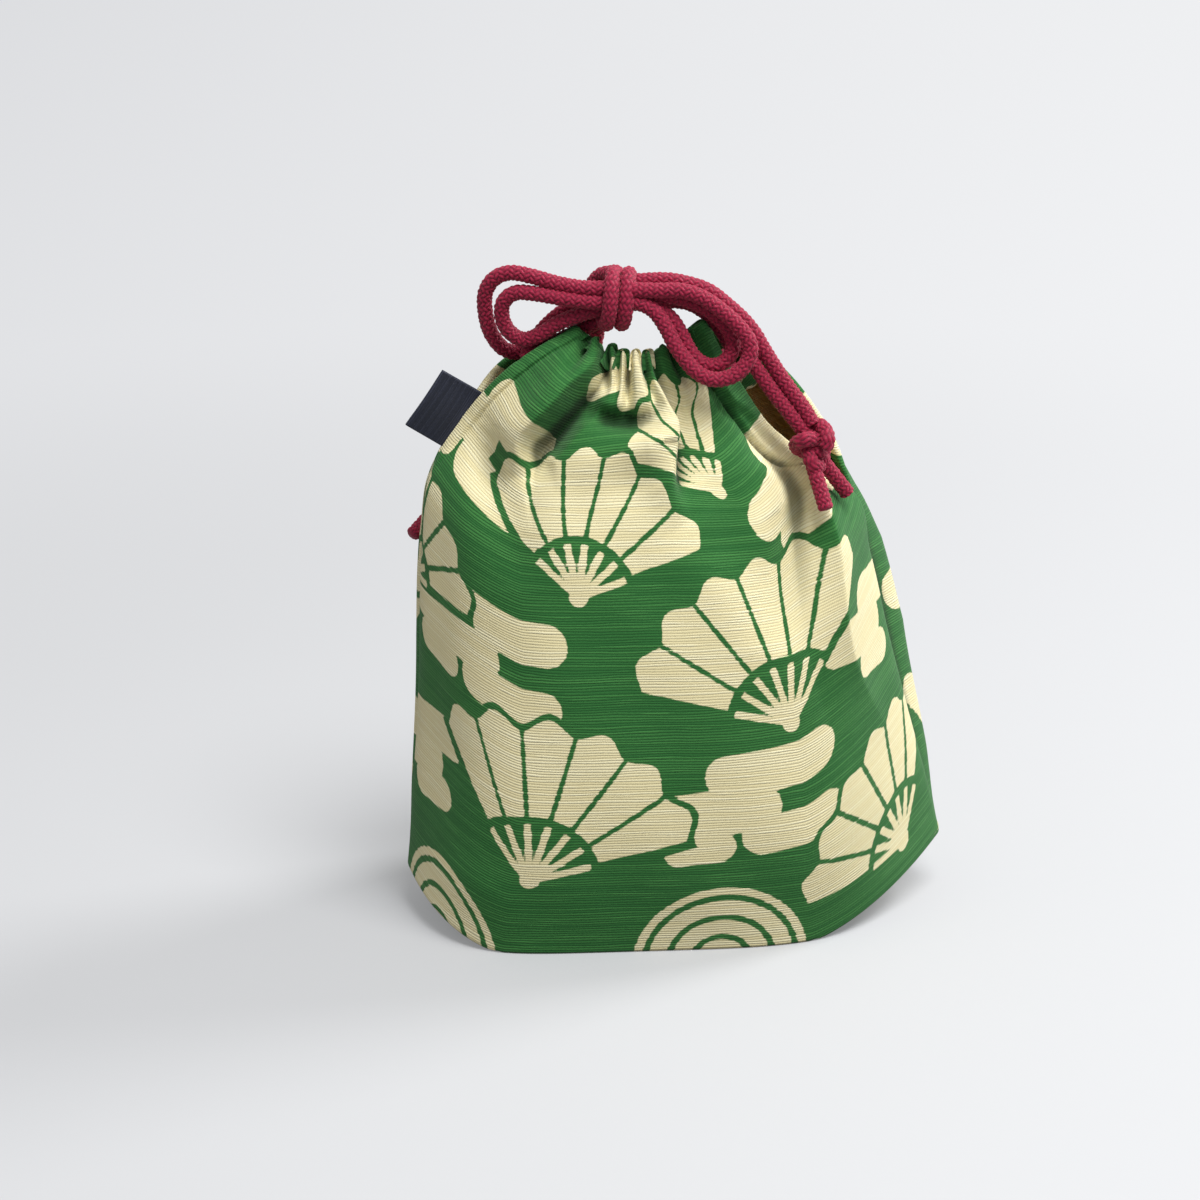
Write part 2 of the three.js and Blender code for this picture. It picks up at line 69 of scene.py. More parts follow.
def makeCamera(settings):
    data = bpy.data.cameras.new("viewCamera")
    data.lens = settings["lens"]
    data.sensor_width = settings["sensor"]
    data.clip_end = settings["farthest"]
    camera = addObject("viewCamera", data)
    pointAt(camera, Vector(settings["place"]) * metres, Vector(settings["aim"]) * metres)
    scene.camera = camera


makeCamera(viewpoint)


# Every vector over its own length
def unit(v):
    return v / np.maximum(np.linalg.norm(v, axis=-1, keepdims=True), 1e-9)


# Distance run along an array of points from its first one, down one axis
def runAlong(points, axis=0):
    step = np.linalg.norm(np.diff(points, axis=axis), axis=-1)
    start = np.zeros_like(np.take(step, [0], axis=axis))
    return np.concatenate([start, np.cumsum(step, axis=axis)], axis=axis)


# Catmull-Rom curve at places t counted in points, its ends carried straight on
def curveAt(points, t):
    p = np.array(points, float)
    p = np.vstack([2 * p[0] - p[1], p, 2 * p[-1] - p[-2]])
    k = np.clip(np.floor(t).astype(int), 0, len(p) - 4)
    f = (np.asarray(t) - k)[..., None]
    a, b, c, d = p[k], p[k + 1], p[k + 2], p[k + 3]
    cubic = (3 * b - a - 3 * c + d) * f**3
    square = (2 * a - 5 * b + 4 * c - d) * f**2
    return 0.5 * (2 * b + (c - a) * f + square + cubic)


# The same curve, walked in even steps
def smoothLine(points, step):
    fine = curveAt(points, np.linspace(0, len(points) - 1, 40 * len(points)))
    run = runAlong(fine)
    even = np.linspace(0, run[-1], max(3, int(round(run[-1] / step)) + 1))
    return np.stack([np.interp(even, run, fine[:, n]) for n in range(fine.shape[1])], axis=1)


# Smooth step from 0 at low to 1 at high
def fade(x, low, high):
    t = np.clip((x - low) / (high - low), 0, 1)
    return t * t * (3 - 2 * t)


# Bell curve: exp(-(x / width)^2)
def bell(x, width):
    return np.exp(-((x / width) ** 2))


# Four-cornered faces of a grid of points, wrapped round its columns where it is a tube
def gridFaces(rows, columns, wrapped=False, flip=False, first=0):
    i, j = np.meshgrid(np.arange(rows - 1), np.arange(columns if wrapped else columns - 1), indexing="ij")
    k = (j + 1) % columns
    corners = [i * columns + j, i * columns + k, (i + 1) * columns + k, (i + 1) * columns + j]
    faces = np.stack(corners, axis=-1).reshape(-1, 4) + first
    return faces[:, ::-1] if flip else faces


# Normals of a grid of points: the slope across crossed with the slope up
def gridNormals(points, flip=False):
    normal = unit(np.cross(np.gradient(points, axis=1), np.gradient(points, axis=0)))
    return -normal if flip else normal


# An sRGB colour of 0 to 255 as Blender's linear colour
def paint(r, g, b):
    c = np.array([r, g, b]) / 255.0
    linear = np.where(c < 0.04045, c / 12.92, ((c + 0.055) / 1.055) ** 2.4)
    return (*linear.tolist(), 1.0)


# Links a socket, or sets a plain value, at each named input of a node
def feed(tree, node, values):
    for key, value in values.items():
        if isinstance(value, bpy.types.NodeSocket):
            tree.links.new(value, node.inputs[key])
        else:
            node.inputs[key].default_value = value


def addNode(tree, kind, values=None, **settings):
    node = tree.nodes.new("ShaderNode" + kind)
    for key, value in settings.items():
        setattr(node, key, value)
    feed(tree, node, values or {})
    return node


def calc(tree, operation, a, b=0.0, c=0.0, clamp=False):
    return addNode(tree, "Math", {0: a, 1: b, 2: c}, operation=operation, use_clamp=clamp).outputs[0]


# a times b, plus c
def times(tree, a, b, c=0.0):
    return calc(tree, "MULTIPLY_ADD", a, b, c)


def blendColour(tree, share, a, b, way="MIX"):
    return addNode(tree, "Mix", {0: share, 6: a, 7: b}, data_type="RGBA", blend_type=way).outputs[2]


# A value's smooth step between low and high, as start to end
def spread(tree, value, low, high, start=0.0, end=1.0):
    limits = {0: value, 1: low, 2: high, 3: start, 4: end}
    return addNode(tree, "MapRange", limits, interpolation_type="SMOOTHSTEP").outputs[0]


# Noise over places stretched by a scale for each axis
def noiseAt(tree, place, scale, detail):
    spot = addNode(tree, "Mapping", {0: place, 3: scale}).outputs[0]
    return addNode(tree, "TexNoise", {"Vector": spot, "Scale": 1.0, "Detail": detail}).outputs[0]


def pointValue(tree, name):
    return addNode(tree, "Attribute", attribute_name=name).outputs["Fac"]


weaveForm = {
    "pitch": 0.84, "driftScale": (0.045, 0.22, 1), "drift": 1.3, "fuzzScale": (1.1, 2.4, 1),
    "warpScale": 12.0, "yarnScale": 0.055, "yarnShift": 91.0, "yarnApart": 5.37, "streak": (0.56, 0.72),
}


# Slub weave: weft ribs across v, each with its own tone and thickness, thick streaks along u, fine warp;
# the height and the tone are sums of these by shares
def makeSlubWeave(form):
    tree = bpy.data.node_groups.new("slubWeave", "ShaderNodeTree")
    tree.interface.new_socket("Place", in_out="INPUT", socket_type="NodeSocketVector")
    for key, value in (("Pitch", form["pitch"]), ("Slub", 1.0)):
        tree.interface.new_socket(key, in_out="INPUT", socket_type="NodeSocketFloat").default_value = value
    for key in ("Height", "Ridge", "Tone"):
        tree.interface.new_socket(key, in_out="OUTPUT", socket_type="NodeSocketFloat")
    given = tree.nodes.new("NodeGroupInput").outputs
    along, up = addNode(tree, "SeparateXYZ", {0: given["Place"]}).outputs[:2]
    drift = noiseAt(tree, given["Place"], form["driftScale"], 2.0)
    phase = calc(tree, "DIVIDE", times(tree, drift, form["drift"], up), given["Pitch"])
    rib = calc(tree, "FLOOR", phase)
    ridge = calc(tree, "SINE", times(tree, calc(tree, "FRACT", phase), np.pi))
    own = addNode(tree, "TexWhiteNoise", {"W": rib}, noise_dimensions="1D").outputs[0]
    shift = times(tree, own, form["yarnShift"])
    walk = times(tree, along, form["yarnScale"], shift)
    apart = times(tree, rib, form["yarnApart"])
    yarn = addNode(tree, "CombineXYZ", {0: walk, 1: apart}).outputs[0]
    streak = spread(tree, noiseAt(tree, yarn, (1, 1, 1), 1.0), *form["streak"])
    streak = times(tree, streak, given["Slub"])
    fuzz = noiseAt(tree, given["Place"], form["fuzzScale"], 3.0)
    warp = calc(tree, "SINE", times(tree, along, form["warpScale"]))
    body = times(tree, streak, 0.55, times(tree, own, 0.35, 0.5))
    height = times(tree, warp, 0.05, times(tree, ridge, body))
    height = times(tree, fuzz, 0.35, height)
    tone = times(tree, own, 0.5, times(tree, fuzz, 0.7))
    tone = times(tree, streak, 0.35, tone)
    feed(tree, tree.nodes.new("NodeGroupOutput"), {"Height": height, "Ridge": ridge, "Tone": tone})
    return tree


slubWeave = makeSlubWeave(weaveForm)


# The weave's values on a piece's flat cloth
def weaveAt(tree, **settings):
    node = addNode(tree, "Group", node_tree=slubWeave)
    feed(tree, node, {"Place": addNode(tree, "UVMap", uv_map="cloth").outputs[0], **settings})
    return node.outputs


def openMaterial(name, look):
    material = bpy.data.materials.new(name)
    material.use_nodes = True
    tree = material.node_tree
    surface = tree.nodes["Principled BSDF"]
    feed(tree, surface, {
        "Roughness": look["roughness"], "Sheen Weight": look["sheen"], "Sheen Roughness": 0.5,
        "Sheen Tint": look["tint"], "Specular IOR Level": 0.25,
    })
    return material, tree, surface


# Yarn to crest by a rib's tone, and a painted shade colour in the grooves between the ribs
def ribbed(tree, weave, tone, yarn, crest, grooveShade, reach):
    colour = blendColour(tree, tone, yarn, crest)
    # Painted shade: the groove colour where the rib's profile dips between ribs
    return blendColour(tree, spread(tree, weave["Ridge"], 0.0, reach), grooveShade, colour)


# A cloth's material: a function of its node tree and its look gives the colour and the bump's height
def makeCloth(name, look, colourAndHeight):
    material, tree, surface = openMaterial(name, look)
    colour, height = colourAndHeight(tree, look)
    bump = addNode(tree, "Bump", {"Height": height, "Distance": look["bump"], "Strength": 1.0})
    feed(tree, surface, {"Base Color": colour, "Normal": bump.outputs[0]})
    return material


printLook = {
    # The darkest green and the tan are painted shade between the weave's ribs
    "grooveShade": paint(28, 87, 38), "green": paint(41, 101, 46), "greenLight": paint(64, 126, 62),
    "tanGrooveShade": paint(213, 198, 150), "beige": paint(228, 217, 170), "cream": paint(237, 230, 192),
    # deep is the painted shade colour multiplied in where the cloth lies in a hollow, and shade its most
    "deep": paint(112, 116, 108), "shade": 0.9, "ragged": 0.6, "bump": 0.00016,
    "roughness": 0.88, "sheen": 0.12, "tint": paint(230, 240, 225),
}


# Printed cotton: the figure value at each point parts beige from green, the weave tones both and puts
# painted shade between its ribs, and painted shade darkens the cloth where it lies in a hollow of its folds
def printedCotton(tree, look):
    weave = weaveAt(tree)
    uneven = calc(tree, "SUBTRACT", weave["Tone"], 0.6)
    ragged = times(tree, uneven, look["ragged"], pointValue(tree, "figure"))
    inside = spread(tree, ragged, -0.22, 0.22)
    tone = spread(tree, weave["Tone"], 0.3, 1.05)
    green = ribbed(tree, weave, tone, look["green"], look["greenLight"], look["grooveShade"], 0.75)
    beige = ribbed(tree, weave, tone, look["beige"], look["cream"], look["tanGrooveShade"], 0.55)
    colour = blendColour(tree, inside, green, beige)
    # Painted shade: the deeper the cloth lies in a hollow of its folds, the more the shade colour is
    # multiplied in
    deep = spread(tree, pointValue(tree, "paintedHollowShade"), 0.3, 5.5, 0.0, look["shade"])
    return blendColour(tree, deep, colour, look["deep"], "MULTIPLY"), weave["Height"]


liningLook = {
    # The first colour is painted shade between the lining's ribs
    "grooveShade": paint(176, 138, 70), "yarn": paint(214, 178, 104), "crest": paint(231, 202, 140),
    "pitch": 0.6, "slub": 0.3, "toneFrom": 0.25, "grooveShadeTo": 0.6, "bump": 0.00012,
    "roughness": 0.9, "sheen": 0.1, "tint": paint(255, 240, 210),
}
labelLook = {
    # The first colour is painted shade between the tape's ribs
    "grooveShade": paint(12, 14, 22), "yarn": paint(30, 34, 47), "crest": paint(54, 58, 74),
    "pitch": 0.34, "slub": 0.15, "toneFrom": 0.3, "grooveShadeTo": 0.7, "bump": 0.0001,
    "roughness": 0.62, "sheen": 0.2, "tint": paint(200, 205, 230),
}


# Plain weave, the mustard lining's or the navy tape's: lighter or darker by each rib's own tone, with
# painted shade between the ribs
def plainWeave(tree, look):
    weave = weaveAt(tree, Pitch=look["pitch"], Slub=look["slub"])
    tone = spread(tree, weave["Tone"], look["toneFrom"], 1.0)
    colour = ribbed(tree, weave, tone, look["yarn"], look["crest"], look["grooveShade"], look["grooveShadeTo"])
    return colour, weave["Height"]


cordLook = {
    # gap is painted shade between the strands, and the rose colour a painted highlight on their crowns
    "gap": paint(44, 2, 20), "crimson": paint(140, 14, 51), "rose": paint(186, 36, 74),
    "fibreScale": (5.5, 5.5, 1.0), "fibre": 0.9, "bump": 0.00015,
    "roughness": 0.55, "sheen": 0.35, "tint": paint(255, 170, 180),
}


# Braid: painted shade where a strand dips, a painted rose highlight on its crown broken up by fine fibres,
# and the fibres as bump over both
def braid(tree, look):
    place = addNode(tree, "UVMap", uv_map="cloth").outputs[0]
    crown = pointValue(tree, "strand")
    fibre = noiseAt(tree, place, look["fibreScale"], 4.0)
    lit = times(tree, calc(tree, "SUBTRACT", fibre, 0.5), look["fibre"], crown)
    # Painted shade in the gaps between strands, by the strand's height
    colour = blendColour(tree, spread(tree, crown, 0.12, 0.62), look["gap"], look["crimson"])
    # Painted highlight on the strands' crowns
    return blendColour(tree, spread(tree, lit, 0.72, 1.25), colour, look["rose"]), fibre


materials = {
    "printed_cotton": makeCloth("printedCotton", printLook, printedCotton),
    "lining_cotton": makeCloth("liningCotton", liningLook, plainWeave),
    "cord": makeCloth("braidedCord", cordLook, braid),
    "label_weave": makeCloth("labelWeave", labelLook, plainWeave),
}
print("materials ready")


# Points in mm and a list of face arrays become a mesh of its slot's material, with a UV pair and named
# values at each point; it rides on a body, or, given bend points, it is left free with its place baked in
def makePiece(name, points, faces, slot, uv, values=None, body="bag", nodes=None, bend=None):
    mesh = bpy.data.meshes.new(name)
    points = np.asarray(points).reshape(-1, 3) * metres
    mesh.from_pydata(points.tolist(), [], [face for block in faces for face in block.tolist()])
    mesh.shade_smooth()
    corner = np.empty(len(mesh.loops), np.int32)
    mesh.loops.foreach_get("vertex_index", corner)
    layer = mesh.uv_layers.new(name="cloth")
    layer.data.foreach_set("uv", np.asarray(uv, np.float32).reshape(-1, 2)[corner].ravel())
    for key, value in (values or {}).items():
        layer = mesh.attributes.new(key, "FLOAT", "POINT")
        layer.data.foreach_set("value", np.asarray(value, np.float32).ravel())
    mesh.materials.append(materials[slot])
    piece = addObject(name, mesh)
    if bend:
        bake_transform(piece)
    else:
        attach(piece, body)
    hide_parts(*(nodes or [name]))
    return piece


# Print: fans, bands of cloud and ringed half rounds, as distances in mm on the flat cloth, above 0 inside;
# a figure also gives its outline, and the first ones of a list lie on top with a margin round them
def turned(u, v, at, angle):
    c = np.cos(np.radians(angle))
    s = np.sin(np.radians(angle))
    return (u - at[0]) * c + (v - at[1]) * s, (v - at[1]) * c - (u - at[0]) * s


fanForm = {
    "spread": 60, "folds": 6, "scallop": 0.04, "slats": 0.42, "line": 0.75, "slat": 1.1,
    "gap": 2.4, "pivot": 3,
}


# A fan is a ring sector with a scalloped edge, cut by lines along its folds; slats run from it to the pivot
def fanFigure(u, v, at, size, angle):
    x, y = turned(u, v, at, angle)
    r = np.hypot(x, y)
    a = np.arctan2(x, y)
    wide = np.radians(fanForm["spread"])
    step = 2 * wide / fanForm["folds"]
    scallop = size * (1 + fanForm["scallop"] * np.cos((a + wide) / step * 2 * np.pi + np.pi))
    side = r * np.sin(np.clip(wide - np.abs(a), -1.5, 1.5))
    crease = r * np.abs(np.sin(np.mod(a + wide + step / 2, step) - step / 2))
    whole = np.minimum(scallop - r, side)
    inner = fanForm["slats"] * size
    leaf = np.minimum(np.minimum(whole, r - inner), crease - fanForm["line"])
    slat = fanForm["slat"]
    slats = np.minimum(np.minimum(slat - crease, inner - fanForm["gap"] - r), side + slat)
    pivot = fanForm["pivot"] - r
    return np.maximum(np.maximum(leaf, slats), pivot), np.maximum(whole, pivot)


# A cloud is a pile of rounded bars, each by its place across and up, its half length and its radius
def cloudFigure(u, v, at, bars, angle):
    x, y = turned(u, v, at, angle)
    inside = np.full(u.shape, -99.0)
    for across, up, half, radius in bars:
        reach = np.hypot(np.maximum(np.abs(x - across) - half, 0), y - up)
        inside = np.maximum(inside, radius - reach)
    return inside, inside


roundForm = {"apart": 7.0, "line": 1.0, "core": 6.0}


# A half round is a disc cut straight below, ringed by even lines
def roundFigure(u, v, at, size, angle):
    x, y = turned(u, v, at, angle)
    r = np.hypot(x, y)
    inside = np.minimum(size - r, y)
    ring = np.abs(np.mod(r - size, roundForm["apart"]) - roundForm["apart"] / 2) - roundForm["line"]
    return np.minimum(inside, np.where(r > roundForm["core"], ring, 1.0)), inside


cloudLong = [(-12, 0, 16, 7.4), (11, 11, 15, 6.8), (15, -9.5, 11, 6.2), (-15, -11, 6, 5.0)]
cloudShort = [(-6, 0, 11, 6.6), (8, 9.5, 10, 6.0), (5, -9, 6, 5.0)]
figures = {"fan": fanFigure, "cloud": cloudFigure, "round": roundFigure}
# Each figure's place, its size or bars, and its turn in degrees
printLayout = {
    "front": {
        "fan": [(-40, 26, 50, -16), (40, 74, 50, 16), (-24, 116, 44, -12),
                (84, 10, 42, 26), (-98, 96, 38, -24), (30, 150, 36, 22)],
        "cloud": [(24, 48, cloudLong, 6), (-62, 92, cloudLong, -5), (76, 84, cloudShort, -14),
                  (-88, 44, cloudShort, 8), (70, 142, cloudLong, 10), (-72, 152, cloudLong, -8),
                  (-8, 186, cloudShort, 6)],
        "round": [(18, -4, 26, 0), (-72, -6, 24, 0)],
    },
    "rear": {
        "fan": [(42, 30, 50, 18), (-38, 76, 50, -14), (24, 118, 44, 10),
                (-84, 12, 42, -26), (94, 92, 38, 26), (-30, 150, 36, -20)],
        "cloud": [(-22, 44, cloudLong, -6), (64, 92, cloudLong, 6), (-78, 84, cloudShort, 12),
                  (86, 40, cloudShort, -8), (-72, 142, cloudLong, -10), (74, 150, cloudLong, 8),
                  (8, 182, cloudShort, -6)],
        "round": [(-16, -4, 26, 0), (72, -6, 24, 0)],
    },
    "base": {
        "fan": [(-30, -30, 46, 12), (50, -22, 42, -24)],
        "cloud": [(6, 26, cloudLong, 4), (-66, 12, cloudShort, -12)],
    },
}
printForm = {"ground": -6.0, "margin": 2.2, "most": 4}


def figureAt(side, u, v):
    total = np.full(u.shape, printForm["ground"])
    layout = [(figures[kind], *spot) for kind, spots in printLayout[side].items() for spot in spots]
    for figure, x, y, size, angle in layout[::-1]:
        inside, outline = figure(u, v, (x, y), size, angle)
        total = np.maximum(inside, np.minimum(total, -outline - printForm["margin"]))
    return np.clip(total, -printForm["most"], printForm["most"])


# Walls: guide points a row, from the base fold at row 0 to the rim at row 7, in mm; both walls share a
# seam's (x, z), up to row 4, and part above it
seamGuides = {
    "left": [(-85.6, 14.5), (-83, 43), (-80.4, 88), (-79.4, 120), (-77.2, 142)],
    "right": [(86, 20.5), (79, 46), (68, 86), (61.8, 114), (56, 134)],
}
slitGuides = {
    "front": {
        "left": [(-66.3, -1.6, 159), (-51, -7.8, 177.4), (-32, -7.4, 189.5)],
        "right": [(30, -6.5, 152.5), (16.2, -7.8, 172.5), (6.4, -7.4, 190)],
    },
    "rear": {
        "left": [(-66.3, 1.6, 159), (-51, 7.8, 176.4), (-28, 7.4, 183)],
        "right": [(45, 6, 153.5), (30.5, 7.8, 172.2), (12, 7.4, 184)],
    },
}
crownGuides = {
    "front": [(-5, -44, 0), (-4, -47.5, 36), (-5, -45, 80), (-7, -41, 112),
              (-9, -36.5, 132), (-11, -31, 147), (-12.5, -24, 161), (-12.5, -16, 184)],
    "rear": [(4, 44, 0), (2, 48, 36), (-3, 46, 80), (-6, 42, 112),
             (-8, 37, 131), (-10, 31.5, 144.5), (-11.5, 25, 156), (-12, 16, 175)],
}
wallForm = {
    "rimRow": 7.0, "slitRow": 4.0, "seamGap": {"front": -0.15, "rear": 0.15},
    "flat": (0.6, 0.5), "blunt": (6.0, 3.6),  # left and right half
    "bluntRim": 1.8, "tipCurve": 1.3, "columns": 262, "rowCount": 258, "evenRow": 2.6,
}


def edgeGuide(side, edge):
    seam = [(x, wallForm["seamGap"][side], z) for x, z in seamGuides[edge]]
    return seam + slitGuides[side][edge]


# A wall point lies between the two edge guides, pushed out to the crown by 1 - |across|^blunt;
# below the first row each half rises to its own seam tip
def wallPoint(side, across, row):
    left = curveAt(edgeGuide(side, "left"), row)
    right = curveAt(edgeGuide(side, "right"), row)
    crown = curveAt(crownGuides[side], row)
    up = row / wallForm["rimRow"]
    size = np.abs(across)
    blunt = np.where(across < 0, *wallForm["blunt"])
    blunt = blunt + (wallForm["bluntRim"] - blunt) * np.clip(up, 0, 1)
    flat = np.where(across < 0, *wallForm["flat"])
    lift = np.maximum(0, (size - flat) / (1 - flat)) ** wallForm["tipCurve"]
    out = 1 - size**blunt
    rise = 1 - (lift + (across**2 - lift) * up)
    straight = left + (right - left) * ((across + 1) / 2)[..., None]
    middle = (left + right) / 2
    tip = np.where(across < 0, left[..., 2], right[..., 2])
    first = np.clip(row, 0, 1)
    straight[..., 2] = tip + (straight[..., 2] - tip) * first
    middle[..., 2] = tip + (middle[..., 2] - tip) * first
    return straight + (crown - middle) * np.stack([out, out, rise], axis=-1)


# Folds are lines on a front view: x, z, height, width on the left of its way and on the right, in mm;
# where one width is given, both sides have it
frontFolds = {
    "shoulderRoll": [
        (-24.5, 184, 1, 1.6, 6), (-28.5, 178, 5, 1.6, 8), (-33, 173.8, 8, 1.6, 9),
        (-37.2, 168.6, 9, 1.6, 9), (-42.6, 163, 8.5, 1.7, 9), (-46.7, 158.7, 7, 2, 9),
        (-48.8, 153.5, 4.5, 2.6, 8), (-48.5, 148, 1, 4, 8),
    ],
    "shoulderCrevice": [
        (-23.4, 182, -3, 2, 1.2), (-26, 174.8, -7, 2.6, 1.2), (-29.5, 171.2, -9, 3, 1.2),
        (-33.3, 167, -10, 3.2, 1.2), (-37.4, 162.8, -10, 3.4, 1.2), (-41.2, 158.6, -9, 3.6, 1.3),
        (-44.5, 155.4, -7.5, 3.6, 1.5), (-45.5, 151, -5, 4.4, 2.2), (-46.5, 144, -2, 5, 4),
        (-48, 134, 0, 6),
    ],
    "pouch": [(-40, 148, 1.5, 9), (-26, 155, 4.5, 9, 7), (-12, 157, 5.5, 9, 6)],
    "pouchTop": [
        (-27, 167, -4.5, 3.4, 3), (-22, 165.4, -8, 3, 3.2), (-14, 164.5, -6, 3, 3.4), (-8, 168, -3, 2.6, 3),
    ],
    "pouchEdge": [
        (-13, 180, 0.5, 1.4, 5), (-8.6, 175, 2, 1.4, 6), (-5.7, 169, 4, 1.4, 7), (-3.6, 163.5, 5.5, 1.5, 8),
        (-3.5, 157.6, 5.5, 1.6, 9), (-4.1, 151, 4.2, 1.8, 9), (-4.5, 146.4, 3, 2.6, 9), (0.8, 137, 0, 5, 9),
    ],
    "pouchShade": [
        (-6, 177, -1.5, 4, 1.4), (-2.8, 169, -4.5, 5, 1.5), (-0.9, 163, -6, 6, 1.5),
        (-0.8, 157, -6, 6, 1.6), (-1.4, 151, -4.5, 6, 1.8), (-0.8, 145, -2.5, 6, 2.6), (5, 136, 0, 6, 4),
    ],
    "pleatA": [(-23.6, 190, -6, 1.3), (-23.6, 180, -6, 1.3), (-23.2, 172, -1.5, 1.8)],
    "pleatB": [(-19.6, 190, -5, 1.1), (-20, 178, -5, 1.2), (-21, 169, -1, 1.8)],
    "pleatC": [(-16.4, 190, -5, 1.0), (-16.7, 178, -6.5, 1.2), (-16.8, 166, -2.5, 2)],
    "pleatD": [(-12.9, 190, -5, 1.1), (-10.4, 176, -5, 1.2), (-7.8, 168, -1, 1.8)],
    "pleatE": [(-9, 190, -5, 1.1), (-7, 178, -4, 1.2), (-3.5, 170, 0, 1.8)],
    "pleatF": [(-4.6, 192, -5, 1.3), (-0.6, 180, -4, 1.4), (5, 170, -0.5, 2), (9, 160, 0, 3)],
    "pleatG": [(-28, 192, -3, 1.4), (-30.5, 182, -3, 1.6), (-37, 173, 0, 2)],
    "pleatH": [(1.5, 194, -3.5, 1.3), (6, 181, -2.5, 1.5), (11, 171, 0, 2)],
    "stripRidge": [
        (27.5, 156.5, 1, 5, 2), (32, 149.5, 2.5, 5, 1.6), (35.5, 145, 3.5, 5, 1.6),
        (38.5, 139.5, 5, 5, 1.8), (40.5, 133.5, 6.5, 7, 2.2), (41.8, 128, 7.5, 8, 2.8),
        (42.8, 122, 8, 9, 3.4), (44, 112, 7.5, 9, 4), (45.8, 101, 6.5, 9, 5), (49, 90, 5, 9, 6),
        (54.5, 78, 3, 9, 7), (66, 57, 0.5, 9, 8),
    ],
    "stripCrevice": [
        (4.7, 185, -1, 1, 1.6), (12, 168.5, -2.2, 1, 2.2), (19.3, 161.6, -2.4, 1, 2.8),
        (24, 155.3, -2.6, 1.1, 3.4), (28.4, 151, -2.8, 1.1, 4), (32.4, 146, -3, 1.2, 5),
        (35, 142.5, -3.6, 1.3, 6), (37, 138.5, -4.6, 1.5, 7), (37.4, 133, -5.6, 2.4, 8),
        (36.6, 127, -5.6, 4, 9), (35.4, 120, -5, 6, 10), (33.5, 112, -3.6, 8, 10), (31.5, 104, -2, 8, 10),
        (30, 94, 0, 8, 10),
    ],
    "leftHollow": [(-60, 160, -1, 6), (-57, 147, -3.5, 7), (-53, 132, -2.2, 8), (-50, 116, 0, 8)],
    "leftSwell": [(-66, 140, 1, 7), (-66, 118, 2, 9, 8), (-68, 90, 1.5, 9, 8), (-72, 60, 0, 8)],
    "middleDip": [(6, 150, -1.5, 7), (14, 134, -2.6, 9), (20, 116, -1.4, 10), (22, 98, 0, 10)],
    "lowerLeft": [(-76, 26, 0, 8), (-62, 20, 1.2, 8), (-48, 8, 0, 8)],
}
rearFolds = {
    "pleatA": [(-26, 188, -4, 1.4), (-28, 174, -3, 1.8), (-36, 158, 0, 3)],
    "pleatB": [(-20, 188, -4, 1.2), (-21, 172, -4, 1.5), (-25, 156, 0, 2.5)],
    "pleatC": [(-14.5, 188, -4, 1.2), (-14.5, 170, -4.5, 1.5), (-15, 152, 0, 2.5)],
    "pleatD": [(-9, 188, -4, 1.2), (-7.5, 172, -4, 1.5), (-4, 154, 0, 2.5)],
    "pleatE": [(-4, 188, -4, 1.2), (0, 172, -3.5, 1.6), (7, 156, 0, 3)],
    "pleatF": [(3, 188, -3, 1.4), (9, 172, -3, 1.8), (18, 158, 0, 3)],
    "rightRoll": [
        (14, 176, 1, 4), (24, 162, 3, 5, 3), (34, 148, 4, 7, 4), (42, 130, 3.5, 8, 6), (46, 108, 0, 9),
    ],
    "rightCrevice": [
        (8, 170, -2, 2, 3), (18, 157, -3.5, 2, 5), (28, 143, -3.5, 3, 7), (34, 126, -2, 5, 8),
        (37, 108, 0, 7, 9),
    ],
    "leftRoll": [
        (-34, 172, 1, 3, 4), (-44, 160, 3, 3, 6), (-54, 147, 3, 5, 8), (-60, 128, 1.5, 7, 8),
        (-62, 108, 0, 8),
    ],
    "leftCrevice": [
        (-30, 166, -2, 3, 2), (-38, 154, -3.5, 5, 2.4), (-47, 140, -3, 7, 3.5), (-50, 122, 0, 8, 6),
    ],
    "pouch": [(-24, 146, 2, 8), (-10, 148, 4, 9, 7), (6, 146, 2.5, 9, 8)],
    "middleDip": [(-2, 140, -1, 8), (2, 124, -1.6, 9), (4, 104, 0, 10)],
}
foldForm = {
    "step": 2.5, "deepest": 8.5,
    "crisp": {"stripRidge", "shoulderCrevice"}, "crispReach": 1.8, "crispCurve": 1.3,
}


# Each fold adds its height times exp(-(d / width)^2), d being the distance to its line on the front view;
# a crisp one falls off straight from its crest instead, and hollows level out at the deepest
def foldHeight(x, z, folds):
    total = np.zeros(x.shape)
    for name, line in folds.items():
        line = smoothLine([p if len(p) == 5 else p + p[-1:] for p in line], foldForm["step"])
        near = np.full(x.shape, 1e9)
        place = np.zeros(x.shape)
        leftOf = np.zeros(x.shape, bool)
        for k in range(len(line) - 1):
            ax, az = line[k, :2]
            dx, dz = line[k + 1, :2] - line[k, :2]
            t = np.clip(((x - ax) * dx + (z - az) * dz) / (dx * dx + dz * dz), 0, 1)
            ex = x - ax - t * dx
            ez = z - az - t * dz
            far = ex * ex + ez * ez
            closer = far < near
            near = np.where(closer, far, near)
            place = np.where(closer, k + t, place)
            leftOf = np.where(closer, dx * ez - dz * ex > 0, leftOf)
        height, left, right = (np.interp(place, np.arange(len(line)), line[:, n]) for n in (2, 3, 4))
        width = np.where(leftOf, left, right)
        if name in foldForm["crisp"]:
            fall = np.clip(1 - np.sqrt(near) / (foldForm["crispReach"] * width), 0, 1)
            total += height * fall ** foldForm["crispCurve"]
        else:
            total += height * np.exp(-near / width**2)
    deepest = foldForm["deepest"]
    return np.where(total < 0, -deepest * np.tanh(-total / deepest), total)


